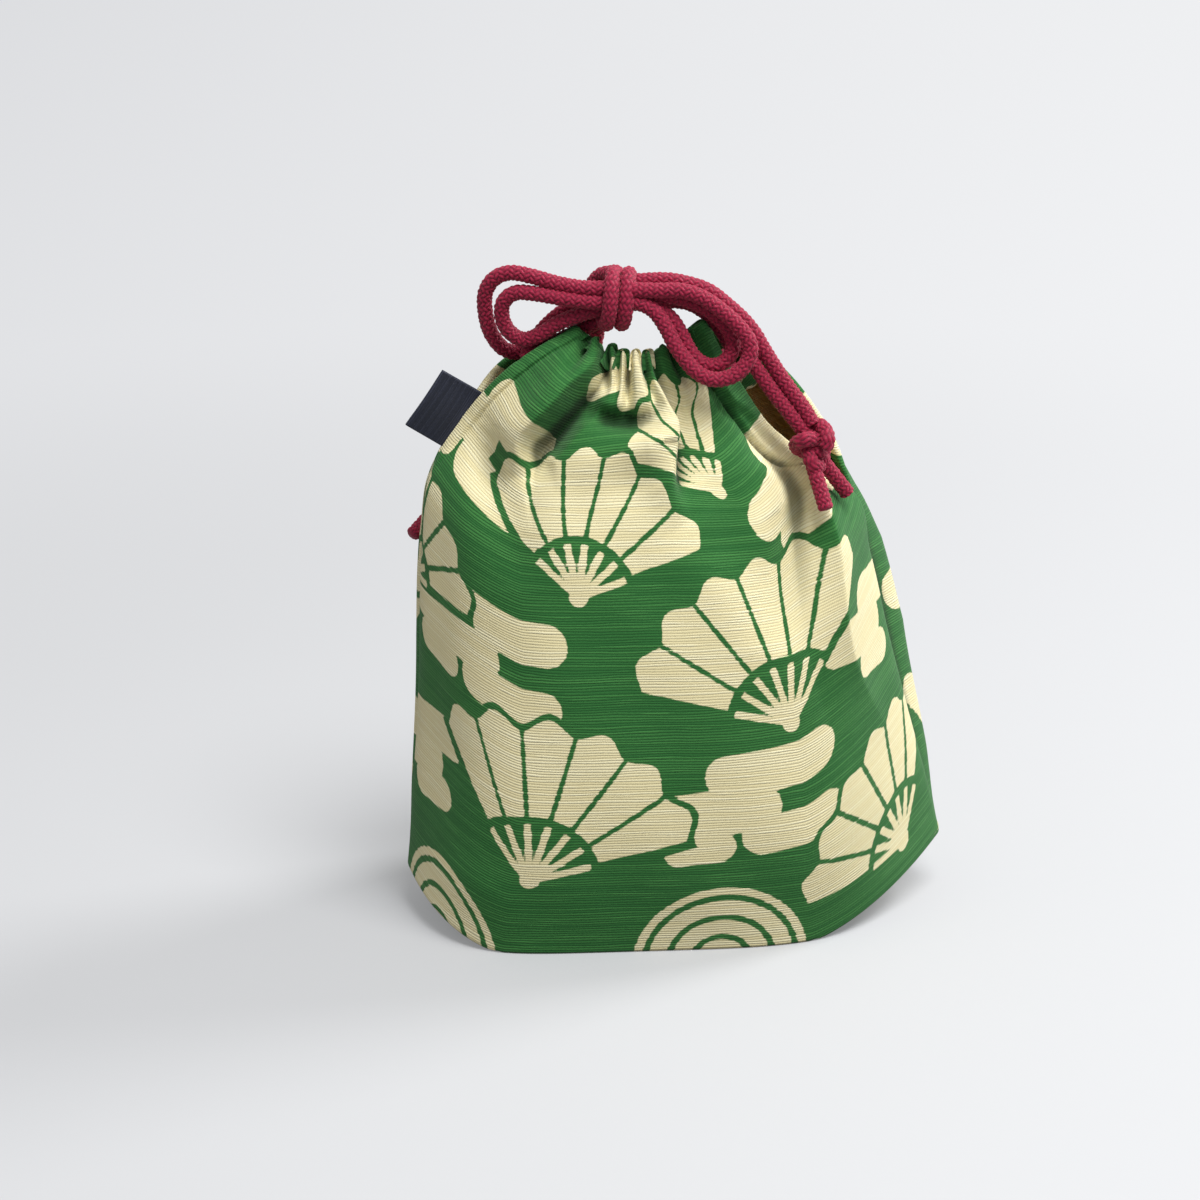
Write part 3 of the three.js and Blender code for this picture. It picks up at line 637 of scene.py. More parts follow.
# Places along a line of the wall that lie even distances apart on it
def evenPlaces(side, across, row, places, count):
    run = runAlong(wallPoint(side, across, row))
    return np.interp(np.linspace(0, run[-1], count), run, places)


# How far a height lies below the mean of its surroundings, in mm, taken over a narrow and a wide square
def hollowOf(height):
    total = np.zeros(height.shape)
    for reach in (4, 11):
        padded = np.pad(height, reach + 1, mode="edge").cumsum(axis=0).cumsum(axis=1)
        size = 2 * reach + 1
        block = padded[size:, size:] - padded[:-size, size:] - padded[size:, :-size] + padded[:-size, :-size]
        total += np.clip(block[:height.shape[0], :height.shape[1]] / size**2 - height, 0, 4)
    return total


# Seam swell beside the left and the right seam, in mm at each row and 0 above the last one
seamSwell = {
    "front": {"left": [0, 1, 1.2, 1.2, 0, 0], "right": [0, 0.6, 0.8, 0.8, 0.6, 0]},
    "rear": {"left": [0, 2, 3, 3, 0.5, 0], "right": [0, 5.5, 9.5, 8.5, 3.5, 0]},
}
# Relief of the sewing, in mm from a slit, a seam or the rim; rows and shares have none
sewForm = {
    "hemStiff": 0.6, "hemReach": 5.0, "hemRows": (5.4, 6.2),
    "swellAt": 8.0, "swellWidth": 8.0, "swellEdge": 3.0, "seamDepth": 1.7, "seamWidth": 1.7,
    "band": {"left": (3.6, 0.6), "right": (6.4, 1.7)},  # width and height of the sewn hem band
    "bandEdge": (-0.5, 0.2), "bandStitch": 0.3, "bandStitchWidth": 0.7,
    "casingStitch": 19.0, "casingDepth": 0.35, "casingWidth": 0.8,
    "ripple": 0.35, "rippleRows": (0.0, 0.5), "rimDip": 0.4, "rimDipRows": (6.4, 7.0),
}
walls = {}


# 1 where the two walls are sewn together, falling to 0 over the slit's first rows
def seamShare(row, above):
    return 1 - fade(row, wallForm["slitRow"] - 0.1, wallForm["slitRow"] + above)


# A line of stitches pulls in by turns: 1 at its most, less twice the share between
def stitches(place, count, share):
    return 1 - share + share * np.sin(place * count)


# The finished wall is its plain form pushed along its normal by folds, seam swell, hem bands and stitches
def formWall(side, folds):
    fine = np.linspace(-1, 1, 3001)
    across = evenPlaces(side, fine, np.full(fine.shape, wallForm["evenRow"]), fine, wallForm["columns"])
    fine = np.linspace(0, wallForm["rimRow"], 2001)
    row = evenPlaces(side, np.zeros(fine.shape), fine, fine, wallForm["rowCount"])
    s, r = np.meshgrid(across, row)
    plain = wallPoint(side, s, r)
    normal = gridNormals(plain, side == "rear")
    fromLeft = runAlong(plain, axis=1)
    fromRight = fromLeft[:, -1:] - fromLeft
    fromRim = runAlong(plain[::-1], axis=0)[::-1]
    push = foldHeight(plain[..., 0], plain[..., 2], folds)
    seamed = seamShare(r, 0.9)
    hemmed = (1 - seamed) * (1 - fade(r, *sewForm["hemRows"]))
    hemmed = hemmed * bell(np.minimum(fromLeft, fromRight), sewForm["hemReach"])
    push *= 1 - sewForm["hemStiff"] * hemmed  # a sewn hem is stiffer than single cloth
    for edge, far in (("left", fromLeft), ("right", fromRight)):
        swell = np.interp(r, np.arange(6), seamSwell[side][edge])
        swell = swell * bell(far - sewForm["swellAt"], sewForm["swellWidth"])
        push += swell * (1 - bell(far, sewForm["swellEdge"]))
        push -= seamed * sewForm["seamDepth"] * bell(far, sewForm["seamWidth"])
        band, proud = sewForm["band"][edge]
        stitch = bell(far - band - sewForm["bandStitch"], sewForm["bandStitchWidth"]) * stitches(r, 70, 0.2)
        flat = 1 - fade(far, *(band + past for past in sewForm["bandEdge"]))
        push += (1 - seamed) * proud * (flat - stitch)
    casing = bell(fromRim - sewForm["casingStitch"], sewForm["casingWidth"])
    push -= sewForm["casingDepth"] * casing * stitches(s, 110, 0.4)
    waves = np.sin(s * 9 + r * 1.7) * np.sin(r * 2.3 + s * 4)
    push += fade(r, *sewForm["rippleRows"]) * sewForm["ripple"] * waves
    points = plain + normal * push[..., None]
    dip = sewForm["rimDip"] * fade(r, *sewForm["rimDipRows"])  # the rim dips in its pleats
    points[..., 2] += dip * np.minimum(push, 0)
    walls[side] = {"across": across, "row": row, "points": points, "plain": plain, "normal": normal}
    # Each point's hollow depth, kept for the painted shade in the cloth's colour
    walls[side]["paintedHollowShade"] = hollowOf(push)


# A point standing off the finished wall, or off its plain form, by its place across and its row
def onWall(side, across, row, off, form="points"):
    wall = walls[side]
    j = np.interp(across, wall["across"], np.arange(len(wall["across"])))
    i = np.interp(row, wall["row"], np.arange(len(wall["row"])))
    j0 = min(int(j), len(wall["across"]) - 2)
    i0 = min(int(i), len(wall["row"]) - 2)
    weight = np.outer([1 - (i - i0), i - i0], [1 - (j - j0), j - j0])[..., None]
    point = (wall[form][i0:i0 + 2, j0:j0 + 2] * weight).sum(axis=(0, 1))
    normal = (wall["normal"][i0:i0 + 2, j0:j0 + 2] * weight).sum(axis=(0, 1))
    return tuple(point + normal * off)


# Edges turned over: radius of each bend and width of the cloth behind it, in mm
edgeForm = {
    "bendSteps": 7, "back": (0.35, 1.0), "lean": 0.08,
    "hemRadius": 1.1, "seamRadius": 0.5, "rimRadius": 1.3, "baseRadius": 1.2,
    "seamFlap": 4.0, "slitFlap": {"front": 4.0, "rear": 9.0}, "flapRows": (4.9, 5.5), "rimFlap": 5.0,
    "clear": 0.25, "flatRow": 95, "flatShare": 0.45, "printTurn": (0.7, 9),
}


# A sheet of cloth is a grid of points with its places on the flat cloth
def makeSheet(name, slot, points, u, v, flip, values):
    faces = [gridFaces(*points.shape[:2], flip=flip)]
    print(name, "laid,", 2 * len(faces[0]), "triangles")
    return makePiece(name, points, faces, slot, np.stack([u, v], axis=-1), values)


# Turns an edge over: a half circle of the given radius, then straight back inside
def turnedEdge(edge, inner, normal, radius, flap):
    outward = unit(edge - inner)
    angle = np.linspace(0, np.pi, edgeForm["bendSteps"])[1:, None, None]
    bend = edge + radius[:, None] * (np.sin(angle) * outward - (1 - np.cos(angle)) * normal)
    back = np.array(edgeForm["back"])[:, None, None] * flap
    return np.concatenate([bend, bend[-1] - back * (outward + edgeForm["lean"] * normal)], axis=0)


# Sews the finished wall: slit hems, seam rolls, the rim turned in and the base edge turned under;
# the print lies by the cloth's own lengths, evened out across by those of one row
def sewPanel(side):
    flip = side == "rear"
    wall = walls[side]
    points = wall["points"]
    hem, seam = edgeForm["hemRadius"], edgeForm["seamRadius"]
    radius = hem + (seam - hem) * seamShare(wall["row"], 0.8)
    narrow, wide = edgeForm["seamFlap"], edgeForm["slitFlap"][side]
    flap = (narrow + (wide - narrow) * fade(wall["row"], *edgeForm["flapRows"]))[:, None]
    normal = gridNormals(points, flip)
    left = turnedEdge(points[:, 0], points[:, 2], normal[:, 0], radius, flap)
    right = turnedEdge(points[:, -1], points[:, -3], normal[:, -1], radius, flap)
    points = np.concatenate([left[::-1].swapaxes(0, 1), points, right.swapaxes(0, 1)], axis=1)
    normal = gridNormals(points, flip)
    extra = len(left)
    normal[:, :extra] = normal[:, extra:extra + 1]
    normal[:, -extra:] = normal[:, -extra - 1:-extra]
    each = np.ones(points.shape[1])
    top = turnedEdge(points[-1], points[-3], normal[-1], edgeForm["rimRadius"] * each, edgeForm["rimFlap"])
    low = turnedEdge(points[0], points[2], normal[0], edgeForm["baseRadius"] * each, edgeForm["rimFlap"])
    low[..., 2] = np.maximum(low[..., 2], edgeForm["clear"])
    points = np.concatenate([low[::-1], points, top], axis=0)
    middle = points.shape[1] // 2
    real = runAlong(points, axis=1)
    real = real - real[:, middle:middle + 1]
    share = edgeForm["flatShare"]
    u = share * real[len(low) + edgeForm["flatRow"]] + (1 - share) * real
    tall = runAlong(wall["plain"], axis=0)
    near, far = edgeForm["printTurn"]
    below = np.linspace(-far, -near, len(low))[:, None] + np.zeros(tall.shape[1])
    above = tall[-1] + np.linspace(near, far, len(top))[:, None]
    v = np.pad(np.concatenate([below, tall, above], axis=0), ((0, 0), (extra, extra)), mode="edge")
    paintedHollowShade = np.pad(wall["paintedHollowShade"], ((len(low), len(top)), (extra, extra)), mode="edge")
    values = {"figure": figureAt(side, -u if flip else u, v), "paintedHollowShade": paintedHollowShade}
    return makeSheet(side + "_panel", "printed_cotton", points, u, v, flip, values)


formWall("front", frontFolds)
formWall("rear", rearFolds)
frontPanel = sewPanel("front")
rearPanel = sewPanel("rear")

# Depths in mm inside the wall, by rows and places across; every so many columns and rows are kept
liningForm = {
    "rows": (0.2, 6.1), "every": 2, "depth": 3.2, "riseRows": (4.4, 5.4),
    "edge": 2.5, "edgeAcross": (0.86, 0.97), "edgeRows": (3.6, 4.4),
}
casingForm = {"rows": (5.95, 6.97), "every": 1, "tall": 1.0, "seam": 1.6, "swell": 12.4, "ends": 5.5}
innerForm = {"trim": wallForm["columns"] // 90, "apart": 0.1, "printFrom": 150}


# The lining keeps the wall's folds, 1 mm nearer above the slits' start and deeper beside their hems
def liningInset(r, s):
    edge = liningForm["edge"] * fade(np.abs(s), *liningForm["edgeAcross"]) * fade(r, *liningForm["edgeRows"])
    return 0 * r, liningForm["depth"] - fade(r, *liningForm["riseRows"]) + edge


# The casing leaves the wall at its lower seam, swells inward round the cord and closes again at the rim
def casingInset(r, s):
    t = np.clip((r - casingForm["rows"][0]) / casingForm["tall"], 0, 1)
    swell = np.sqrt(np.clip(1 - np.abs(2 * t - 1) ** 4, 0, 1))
    return swell, casingForm["seam"] + swell * (casingForm["swell"] - casingForm["ends"] * np.abs(s) ** 3)


# A plain sheet of a wall's rows, set inside the finished cloth; inset gives the share of the folds that
# is left out and the depth
def innerSheet(side, name, slot, form, inset):
    flip = side == "rear"
    wall = walls[side]
    rows = (wall["row"] >= form["rows"][0]) & (wall["row"] <= form["rows"][1])
    every = form["every"]
    columns = slice(innerForm["trim"], -innerForm["trim"], every)
    points, plain, normal = (wall[key][rows][::every, columns] for key in ("points", "plain", "normal"))
    smooth, depth = inset(wall["row"][rows][::every, None], wall["across"][None, columns])
    points = points + (plain - points) * smooth[..., None] - normal * depth[..., None]
    apart = innerForm["apart"]
    points[..., 1] = np.maximum(points[..., 1], apart) if flip else np.minimum(points[..., 1], -apart)
    u = runAlong(points, axis=1)
    v = runAlong(points, axis=0)
    values = {"figure": figureAt(side, u - u.mean(), v + innerForm["printFrom"])}
    return makeSheet(side + name, slot, points, u, v, not flip, values)


frontLining = innerSheet("front", "_lining", "lining_cotton", liningForm, liningInset)
rearLining = innerSheet("rear", "_lining", "lining_cotton", liningForm, liningInset)
frontCasing = innerSheet("front", "_casing", "printed_cotton", casingForm, casingInset)
rearCasing = innerSheet("rear", "_casing", "printed_cotton", casingForm, casingInset)

baseForm = {"columns": 90, "rows": 60, "wave": 0.35, "least": 0.6}


# The base is ruled between the two walls' lowest rows, some mm above them, with a slight wave; it spans a
# share of their length and leaves a margin, as a share too, before and behind
def baseSheet(name, slot, above, share, margin):
    across = np.linspace(-share, share, baseForm["columns"])
    front = wallPoint("front", across, np.zeros(across.shape))
    rear = wallPoint("rear", across, np.zeros(across.shape))
    t = np.linspace(margin, 1 - margin, baseForm["rows"])[:, None, None]
    points = front + (rear - front) * t
    wave = np.sin(points[..., 0] * 0.09) * np.sin(points[..., 1] * 0.11 + 1)
    points[..., 2] += above + baseForm["wave"] * wave
    points[..., 2] = np.maximum(points[..., 2], above * baseForm["least"])
    u, v = points[..., 0], points[..., 1]
    values = {"figure": figureAt("base", u, v)}
    return makeSheet(name, slot, points, u, v, slot == "printed_cotton", values)


basePanel = baseSheet("base_panel", "printed_cotton", above=0.6, share=0.985, margin=0.012)
baseLining = baseSheet("base_lining", "lining_cotton", above=2.6, share=0.88, margin=0.06)


# Cords, in mm
cordForm = {
    "diameter": 4.9, "relief": 0.6, "strands": 9, "turn": 14.0, "sides": 56, "step": 0.28,
    "blunt": 0.7, "round": 2.4, "dip": 0.3, "rest": 2.9,
}


# Frames carried along a line without twist: each side vector is the last one less its part along the way
def carriedFrames(line):
    way = unit(np.gradient(line, axis=0))
    sides = [unit(np.cross(way[0], [0.3, 1.0, 0.2]))]
    for k in range(1, len(line)):
        sides.append(unit(sides[-1] - way[k] * np.dot(sides[-1], way[k])))
    side = np.array(sides)
    return side, np.cross(way, side)


# Braid height: strands of two opposite windings, over two and under two, each a round ridge that dips
# at its ends
def braidHeight(theta, run):
    n = cordForm["strands"]
    a = n * (theta / (2 * np.pi) + run / cordForm["turn"])
    b = n * (theta / (2 * np.pi) - run / cordForm["turn"])
    cellA = np.floor(a)
    cellB = np.floor(b)
    overA = np.mod(cellB - cellA, 4) < 2
    lengthwise = np.where(overA, np.mod(b - cellA, 4), np.mod(a - cellB - 1, 4)) / 2
    crosswise = np.where(overA, 2 * (a - cellA), 2 * (b - cellB)) - 1
    crown = np.sqrt(np.clip(1 - crosswise**2, 0, 1))
    ridge = np.clip(np.sin(np.pi * np.clip(lengthwise, 0, 1)), 0, 1) ** 0.6
    return crown * (cordForm["dip"] + (1 - cordForm["dip"]) * ridge)


# A braided tube round a line; its ends are drawn in to a blunt round
def braidTube(line, thick):
    run = runAlong(line)
    side, other = carriedFrames(line)
    theta = np.linspace(0, 2 * np.pi, cordForm["sides"], endpoint=False)
    height = braidHeight(theta[None, :], run[:, None])
    radius = thick * (cordForm["diameter"] / 2 - cordForm["relief"] * (1 - height))
    ends = np.clip(np.minimum(run, run[-1] - run) / cordForm["blunt"], 0, 1)
    radius = radius * np.sqrt(np.clip(1 - (1 - ends) ** 2, 0.0004, 1))[:, None]
    ring = np.cos(theta)[None, :, None] * side[:, None] + np.sin(theta)[None, :, None] * other[:, None]
    points = line[:, None] + radius[..., None] * ring
    uv = np.stack(np.broadcast_arrays(run[:, None], theta * cordForm["round"]), axis=-1)
    return points, height, uv


def makeCord(name, body, lines, nodes=None, thick=1.0, bend=None):
    points, heights, uvs, faces = [], [], [], []
    count = 0
    for line in lines:
        p, h, uv = braidTube(line, thick)
        faces.append(gridFaces(*h.shape, wrapped=True, first=count))
        count += h.size
        points.append(p.reshape(-1, 3))
        heights.append(h.ravel())
        uvs.append(uv.reshape(-1, 2))
    points, heights, uvs = (np.concatenate(parts) for parts in (points, heights, uvs))
    return makePiece(name, points, faces, "cord", uvs, {"strand": heights}, body, nodes, bend)


# Routes in mm, from the bow's knot outwards, or from a slit up to the knot
cordRoutes = {
    "left_loop_outer": [
        (-19, -13, 203.4), (-28, -12, 203), (-36.4, -10, 203.9), (-45, -8, 206), (-51.1, -6, 206.6),
        (-55.8, -4, 204.3), (-58.4, -2.3, 199.5), (-58.4, -1, 193), (-56.8, 0, 186.5), (-53, 1.5, 181),
        (-48, 3, 179.5), (-43.5, 3.6, 183), (-38.5, 2, 188), (-32, -1, 192.5), (-25, -5, 196),
        (-19, -7, 198),
    ],
    "left_loop_inner": [
        (-19, -14, 198.8), (-27.6, -13, 199.2), (-36, -11.5, 200), (-44, -9.5, 201), (-49.5, -7.5, 200.8),
        (-53, -6, 197.8), (-53.6, -5, 193), (-51.6, -4.6, 188.2), (-47.4, -4.9, 185.6), (-42.5, -6.4, 187.3),
        (-37.5, -7.6, 190.8), (-31, -9, 194), (-24.5, -10, 196), (-19, -10.4, 196.5),
    ],
    "right_loop_outer": [
        (-17, -15.3, 203.3), (-8.8, -16.5, 203.2), (-0.5, -17.5, 203.2), (6, -18.4, 201),
        (12.3, -19.2, 196.4), (17, -20, 191.8), (19.6, -20.8, 187.6), (19.4, -21.4, 183.4),
        (16.6, -22, 179.4), (12.2, -22.2, 177.2), (7.4, -22, 177.2), (3.2, -21.4, 179.6), (0, -20.4, 183.2),
        (-2.9, -19.2, 187.4), (-5.2, -18, 192), (-8.6, -16.8, 196.8), (-13, -15.7, 199.2), (-17, -15, 199.8),
    ],
    "right_loop_inner": [
        (-17, -11.8, 200.7), (-6.6, -13.2, 200.8), (0.5, -13.8, 199.6), (7, -14.4, 196.8), (12, -15, 192.6),
        (14.8, -15.6, 188), (14.6, -16.2, 183.6), (11.8, -16.8, 180.4), (7.8, -17, 179.8), (4, -16.8, 181.8),
        (1.4, -16.2, 185.4), (-0.6, -15.6, 189.4), (-3.2, -15, 193.6), (-7.4, -14.2, 197),
        (-13, -13.4, 198.4), (-17, -13, 198.5),
    ],
    "right_tail_outer": [
        (-17, -8.9, 203.9), (-5.5, -9.2, 204.4), (2, -9.6, 203.2), (8.4, -10, 200.8), (14, -10.5, 196.4),
        (18.7, -11, 192), (22.1, -11.8, 187.7), (24.6, -12.6, 183.4), (29, -13.6, 176.3),
        (32.5, -14.6, 171.2), (36.6, -15.8, 165.6), (39.6, -17.2, 160.5),
    ],
    "right_tail_inner": [
        (-17, -7, 200.8), (-13, -7.4, 201), (-4, -8, 200.6), (4, -8.6, 198.8), (11, -9.6, 194.4),
        (16.4, -11, 187.4), (21.2, -13, 179.6), (27.4, -14.8, 170.6), (33, -16.2, 163.4), (38, -17.4, 157),
    ],
    "left_front_riser": [
        (-46.5, -3.6, 178.6), (-44.3, -2.4, 183.6), (-40.5, -2, 188.4), (-35.8, -3.2, 193),
        (-30, -5.4, 197.2), (-24, -7.6, 199.6), (-20, -8.4, 200.1),
    ],
    "left_rear_riser": [
        (-46, 6.4, 177), (-40, 4, 180.6), (-33.5, 1, 184.6), (-27.5, -2.6, 188.6), (-22.5, -5.8, 191.8),
        (-18, -7.6, 194),
    ],
    "right_front_riser": [
        (15.5, -5.5, 182.5), (12.6, -5.4, 187.4), (8.4, -5.8, 192.6), (2.4, -6.4, 196.4), (-5, -7.4, 197.6),
        (-12, -8.4, 198), (-16, -8.7, 198.3),
    ],
    "right_rear_riser": [
        (27, 5.6, 175), (23.5, 3.4, 182), (17.5, 1, 188.4), (9.5, -0.8, 193), (1, -2.4, 196),
        (-7, -4.4, 198.5), (-15, -6.3, 200.3),
    ],
    "left_tail_outer": [(-18, -6, 203), (-18, 1.5, 203.2), (-19.5, 9, 202), (-25, 17, 196)],
    "left_tail_inner": [(-18, -6, 198), (-18, 1.5, 197.6), (-19, 8.5, 195.5), (-22, 15, 189)],
}
# Where the left tail goes on, lying on the rear wall: places across, and rows
tailRests = {
    "left_tail_outer": [(-0.66, 6.3), (-0.74, 5.5), (-0.8, 4.6), (-0.84, 3.95), (-0.82, 3.6)],
    "left_tail_inner": [(-0.42, 6.2), (-0.58, 5.3), (-0.68, 4.5), (-0.74, 3.9), (-0.78, 3.55)],
}
# Swinging cords: a body and two points in metres where each leaves the knot; a cord listed here is left free
# with its place baked in, not attached to that body
cordSwings = {
    "left_loop": ("left_bow_loop", (-0.024, -0.0105, 0.2), (-0.041, -0.0105, 0.2)),
    "right_loop": ("right_bow_loop", (-0.0145, -0.0105, 0.2), (0.006, -0.0105, 0.2)),
    "right_tail": ("right_tail", (-0.0145, -0.0105, 0.2), (0.01, -0.0105, 0.2)),
    "left_tail": ("left_tail", (-0.018, -0.003, 0.2), (-0.018, 0.01, 0.2)),
}
knotForm = {
    "centre": (-19.6, -10.6, 199.2), "tall": 7.5, "deep": 6.2, "turns": 2.2, "pitch": 4.7, "start": 2.3,
    "tuck": 0.55, "tuckFrom": 0.74,
}
# Each tip starts beside its knot's middle, then has a way and a length
endForm = {
    "size": (5.2, 3.4, 6.4),
    "right": {
        "centre": (39.7, -18.0, 154.3), "tilt": 25,
        "tips": [((2, 0, -4), (0.58, 0.18, -0.79), 16), ((-0.5, -2, -5), (0.25, -0.43, -0.87), 15)],
    },
    "left": {
        "centre": onWall("rear", -0.8, 3.3, 6.2), "tilt": -20,
        "tips": [((-2, -2, -1), (-0.58, -0.71, -0.4), 18), ((1, 1, -3), (0.2, 0.4, -0.9), 18)],
    },
}
runForm = {"depth": 10.5, "step": 0.4, "thick": 0.9, "places": (-0.97, -0.7, -0.4, 0, 0.4, 0.75, 0.95)}


# The wrap is a helix on an oval, wound round the bundle of strands that passes through the knot,
# with both ends drawn in among the strands
def wrapLine(form):
    t = np.linspace(0, 1, 240)
    angle = 2 * np.pi * form["turns"] * t + form["start"]
    wide = 1 - form["tuck"] * fade(np.abs(2 * t - 1), form["tuckFrom"], 1)
    x = form["centre"][0] + form["pitch"] * form["turns"] * (t - 0.5)
    y = form["centre"][1] - form["deep"] * wide * np.cos(angle)
    z = form["centre"][2] + form["tall"] * wide * np.sin(angle)
    return smoothLine(np.stack([x, y, z], axis=1), cordForm["step"])


# An end knot is an overhand loop: three lobes that cross over and under each other
def endKnotLine(centre, size, tilt):
    t = np.linspace(0.35, 2 * np.pi + 0.25, 200)
    x = (np.sin(t) + 2 * np.sin(2 * t)) / 3
    z = (np.cos(t) - 2 * np.cos(2 * t)) / 3
    x, z = turned(x, z, (0, 0), -tilt)
    return smoothLine(np.stack([x, -np.sin(3 * t), z], axis=1) * size + centre, cordForm["step"])


def straightCord(start, way, length):
    t = np.linspace(0, 1, 6)[:, None]
    return smoothLine(start + unit(np.array(way, float)) * length * t, cordForm["step"])


def makeEndKnot(hand):
    form = endForm[hand]
    centre = np.array(form["centre"])
    lines = [endKnotLine(centre, endForm["size"], form["tilt"])]
    lines += [straightCord(centre + beside, way, length) for beside, way, length in form["tips"]]
    nodes = [hand + "_end_knot", hand + "_tip_outer", hand + "_tip_inner"]
    return makeCord(nodes[0], hand + "_tail", lines, nodes)


# A cord's hidden run lies in the front casing, crosses inside at the far slit and comes back in the rear one
def makeRun(name, row, way):
    places = [way * s for s in runForm["places"]]
    stops = [("front", s) for s in places] + [("rear", s) for s in places[::-1]]
    depths = [casingForm["ends"] * abs(s) ** 3 - runForm["depth"] for side, s in stops]
    line = [onWall(side, s, row, depth, "plain") for (side, s), depth in zip(stops, depths)]
    makeCord(name, "bag", [smoothLine(line, runForm["step"])], thick=runForm["thick"])


endKnots = {hand: makeEndKnot(hand) for hand in ("right", "left")}
for name, route in cordRoutes.items():
    rests = [onWall("rear", s, r, cordForm["rest"]) for s, r in tailRests.get(name, [])]
    line = smoothLine(route + rests, cordForm["step"])
    hand, part = name.split("_")[:2]
    body, *bend = cordSwings.get(hand + "_" + part, ["bag"])
    piece = makeCord(name, body, [line], bend=bend)
makeCord("bow_knot", "bag", [wrapLine(knotForm)])
makeRun("left_cord_run", 6.25, 1)
makeRun("right_cord_run", 6.7, -1)
print("cords tied")


# Label: a tape folded double, its outer end a tight bend, sewn into the left seam
labelForm = {
    "root": (-64.2, -0.2, 158.2), "along": (0.5518, 0, 0.8339), "out": (-0.83, -0.05, 0.55),
    "wide": 20.6, "long": 15.6, "thick": 0.55, "gap": 0.35, "sewnIn": 1.2, "curl": 1.1, "bow": 0.5,
    "layerSteps": 26, "bendSteps": 9, "rows": 41,
}


# The tape's middle line goes out, round the bend and back; it curls more towards its upper end
def makeLabel(form):
    along = unit(np.array(form["along"], float))
    out = unit(np.array(form["out"], float))
    face = np.cross(along, out)
    bend = form["gap"] / 2 + form["thick"] / 2
    straight = np.linspace(-form["sewnIn"], form["long"] - bend, form["layerSteps"])
    angle = np.linspace(0, np.pi, form["bendSteps"])[1:-1]
    layer = np.full(form["layerSteps"], bend)
    reach = np.concatenate([straight, form["long"] - bend + bend * np.sin(angle), straight[::-1]])
    level = np.concatenate([layer, bend * np.cos(angle), -layer])
    w = np.linspace(-0.5, 0.5, form["rows"])[:, None]
    curl = form["curl"] * (np.sin(reach / form["long"] * 1.6) ** 2) * (0.6 + 0.8 * w)
    curl = curl + form["bow"] * np.cos(w * 5)
    base = np.array(form["root"]) + along * (w * form["wide"])[..., None] + out * reach[None, :, None]
    middle = base + face * (level + curl)[..., None]
    half = gridNormals(middle) * form["thick"] / 2
    rows, columns = middle.shape[:2]
    points = np.concatenate([(middle + half).reshape(-1, 3), (middle - half).reshape(-1, 3)])
    size = rows * columns
    index = np.arange(size).reshape(rows, columns)
    ring = np.concatenate([index[0], index[1:, -1], index[-1, -2::-1], index[-2:0:-1, 0]])
    after = np.roll(ring, -1)
    rim = np.stack([ring, ring + size, after + size, after], axis=1)
    faces = [gridFaces(rows, columns), gridFaces(rows, columns, flip=True, first=size), rim]
    uv = np.stack(np.broadcast_arrays(w * form["wide"], runAlong(middle, axis=1)), axis=-1).reshape(-1, 2)
    return makePiece("side_label", points, faces, "label_weave", np.concatenate([uv, uv]), body="label")


sideLabel = makeLabel(labelForm)


# Floor and lights, in metres
floorLook = {
    "half": 6, "under": -0.0002, "pale": paint(181, 182, 184), "paler": paint(185, 186, 188),
    "bounce": paint(120, 120, 122), "left": paint(222, 223, 226), "right": paint(245, 246, 248),
    "grain": (3, 3, 3), "sides": (-0.7, 0.6), "glow": (0.25, 0.7, 0.25, 0.9),
    "roughness": 0.7, "sheen": 0.0, "tint": paint(255, 255, 255),
}
skyStrength = 0.45


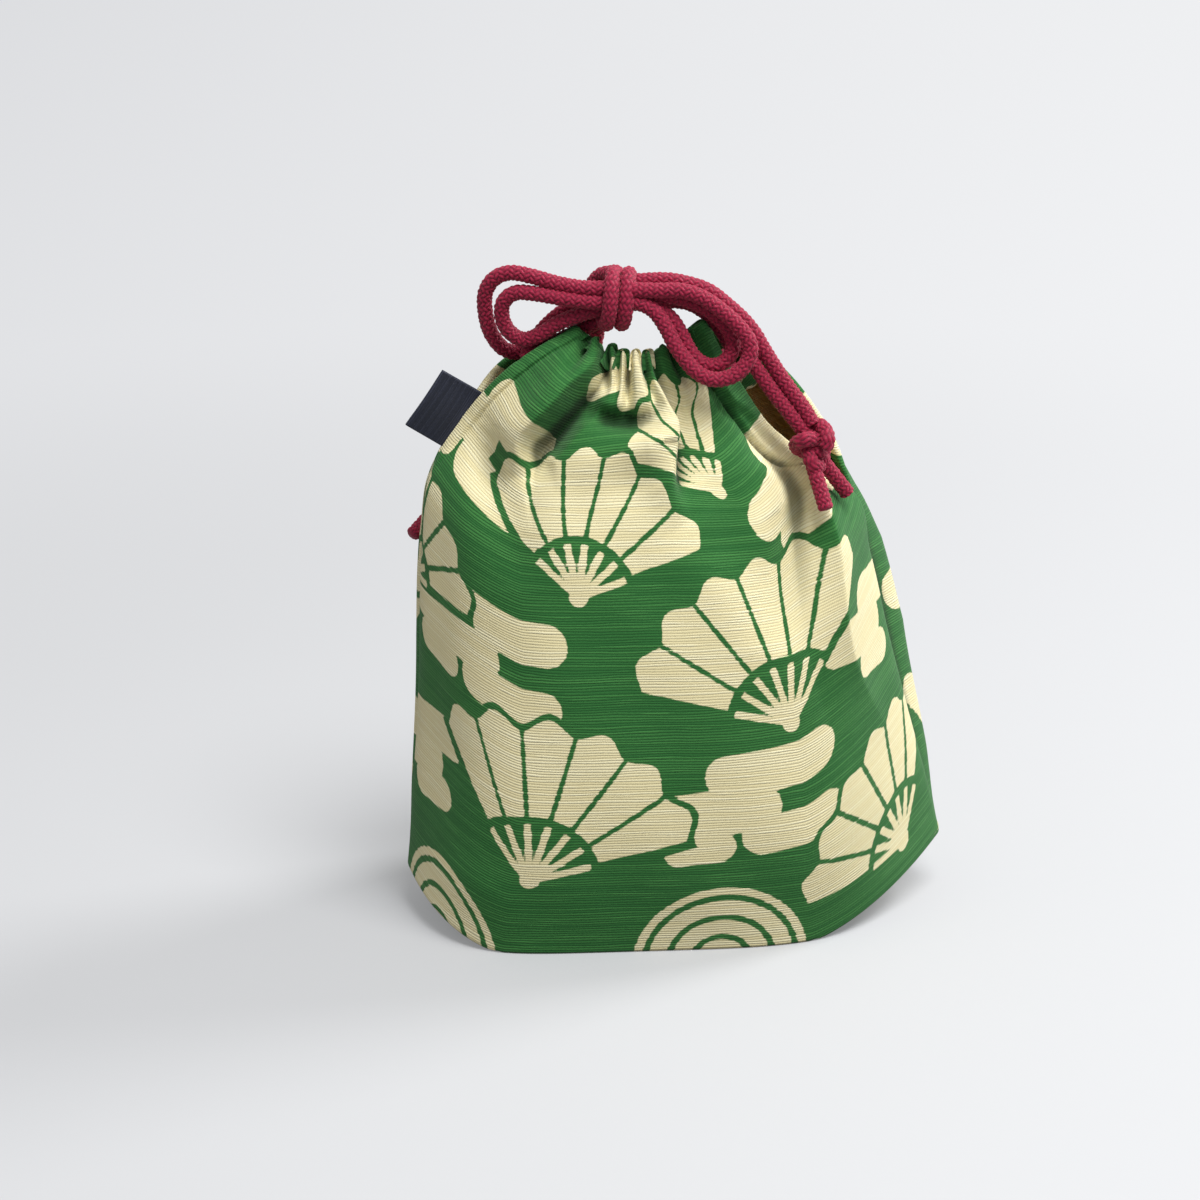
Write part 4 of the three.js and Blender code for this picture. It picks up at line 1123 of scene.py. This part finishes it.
# The floor is pale where the camera sees it and darker to bounced light. To the camera it glows with painted
# light, a little near the bag and more as it goes away from it, so that it turns into a glowing backdrop,
# painted lighter on the right
def makeFloor(look):
    half, z = look["half"], look["under"]
    mesh = bpy.data.meshes.new("floor")
    corners = [(-half, -half, z), (half, -half, z), (half, half, z), (-half, half, z)]
    mesh.from_pydata(corners, [], [(0, 1, 2, 3)])
    material, tree, surface = openMaterial("paleFloor", look)
    spot = addNode(tree, "TexCoord").outputs["Object"]
    grain = noiseAt(tree, spot, look["grain"], 1.0)
    colour = blendColour(tree, grain, look["pale"], look["paler"])
    seen = addNode(tree, "LightPath").outputs
    shown = calc(tree, "ADD", seen["Is Camera Ray"], seen["Is Glossy Ray"], clamp=True)
    shown = calc(tree, "ADD", shown, seen["Is Transmission Ray"], clamp=True)
    feed(tree, surface, {"Base Color": blendColour(tree, shown, look["bounce"], colour)})
    far = addNode(tree, "VectorMath", {0: spot}, operation="LENGTH").outputs["Value"]
    side = addNode(tree, "SeparateXYZ", {0: spot}).outputs[0]
    # Painted light: the glow's colour is lighter on the right
    backdrop = blendColour(tree, spread(tree, side, *look["sides"]), look["left"], look["right"])
    glow = addNode(tree, "Emission", {"Color": backdrop})
    # Painted light: the glow's share grows from a quarter near the bag to most of it far away, for camera
    # rays only
    even = times(tree, spread(tree, far, *look["glow"]), seen["Is Camera Ray"])
    mixed = addNode(tree, "MixShader", {0: even, 1: surface.outputs[0], 2: glow.outputs[0]})
    feed(tree, tree.nodes["Material Output"], {"Surface": mixed.outputs[0]})
    mesh.materials.append(material)
    addObject("floor", mesh)


def makeLamp(name, place, aim, size, power):
    data = bpy.data.lights.new(name, "AREA")
    data.shape = "DISK"
    data.size = size
    data.energy = power
    pointAt(addObject(name, data), place, aim)


makeFloor(floorLook)
makeLamp("keyLamp", place=(1.0, 0.45, 1.0), aim=(0, 0, 0.08), size=0.5, power=15.0)
makeLamp("topLamp", place=(0.3, -0.55, 1.35), aim=(0, 0, 0.1), size=0.8, power=22.0)
world = bpy.data.worlds.new("softSky")
world.use_nodes = True
sky = {"Color": (1, 1, 1, 1), "Strength": skyStrength}
feed(world.node_tree, world.node_tree.nodes["Background"], sky)
scene.world = world
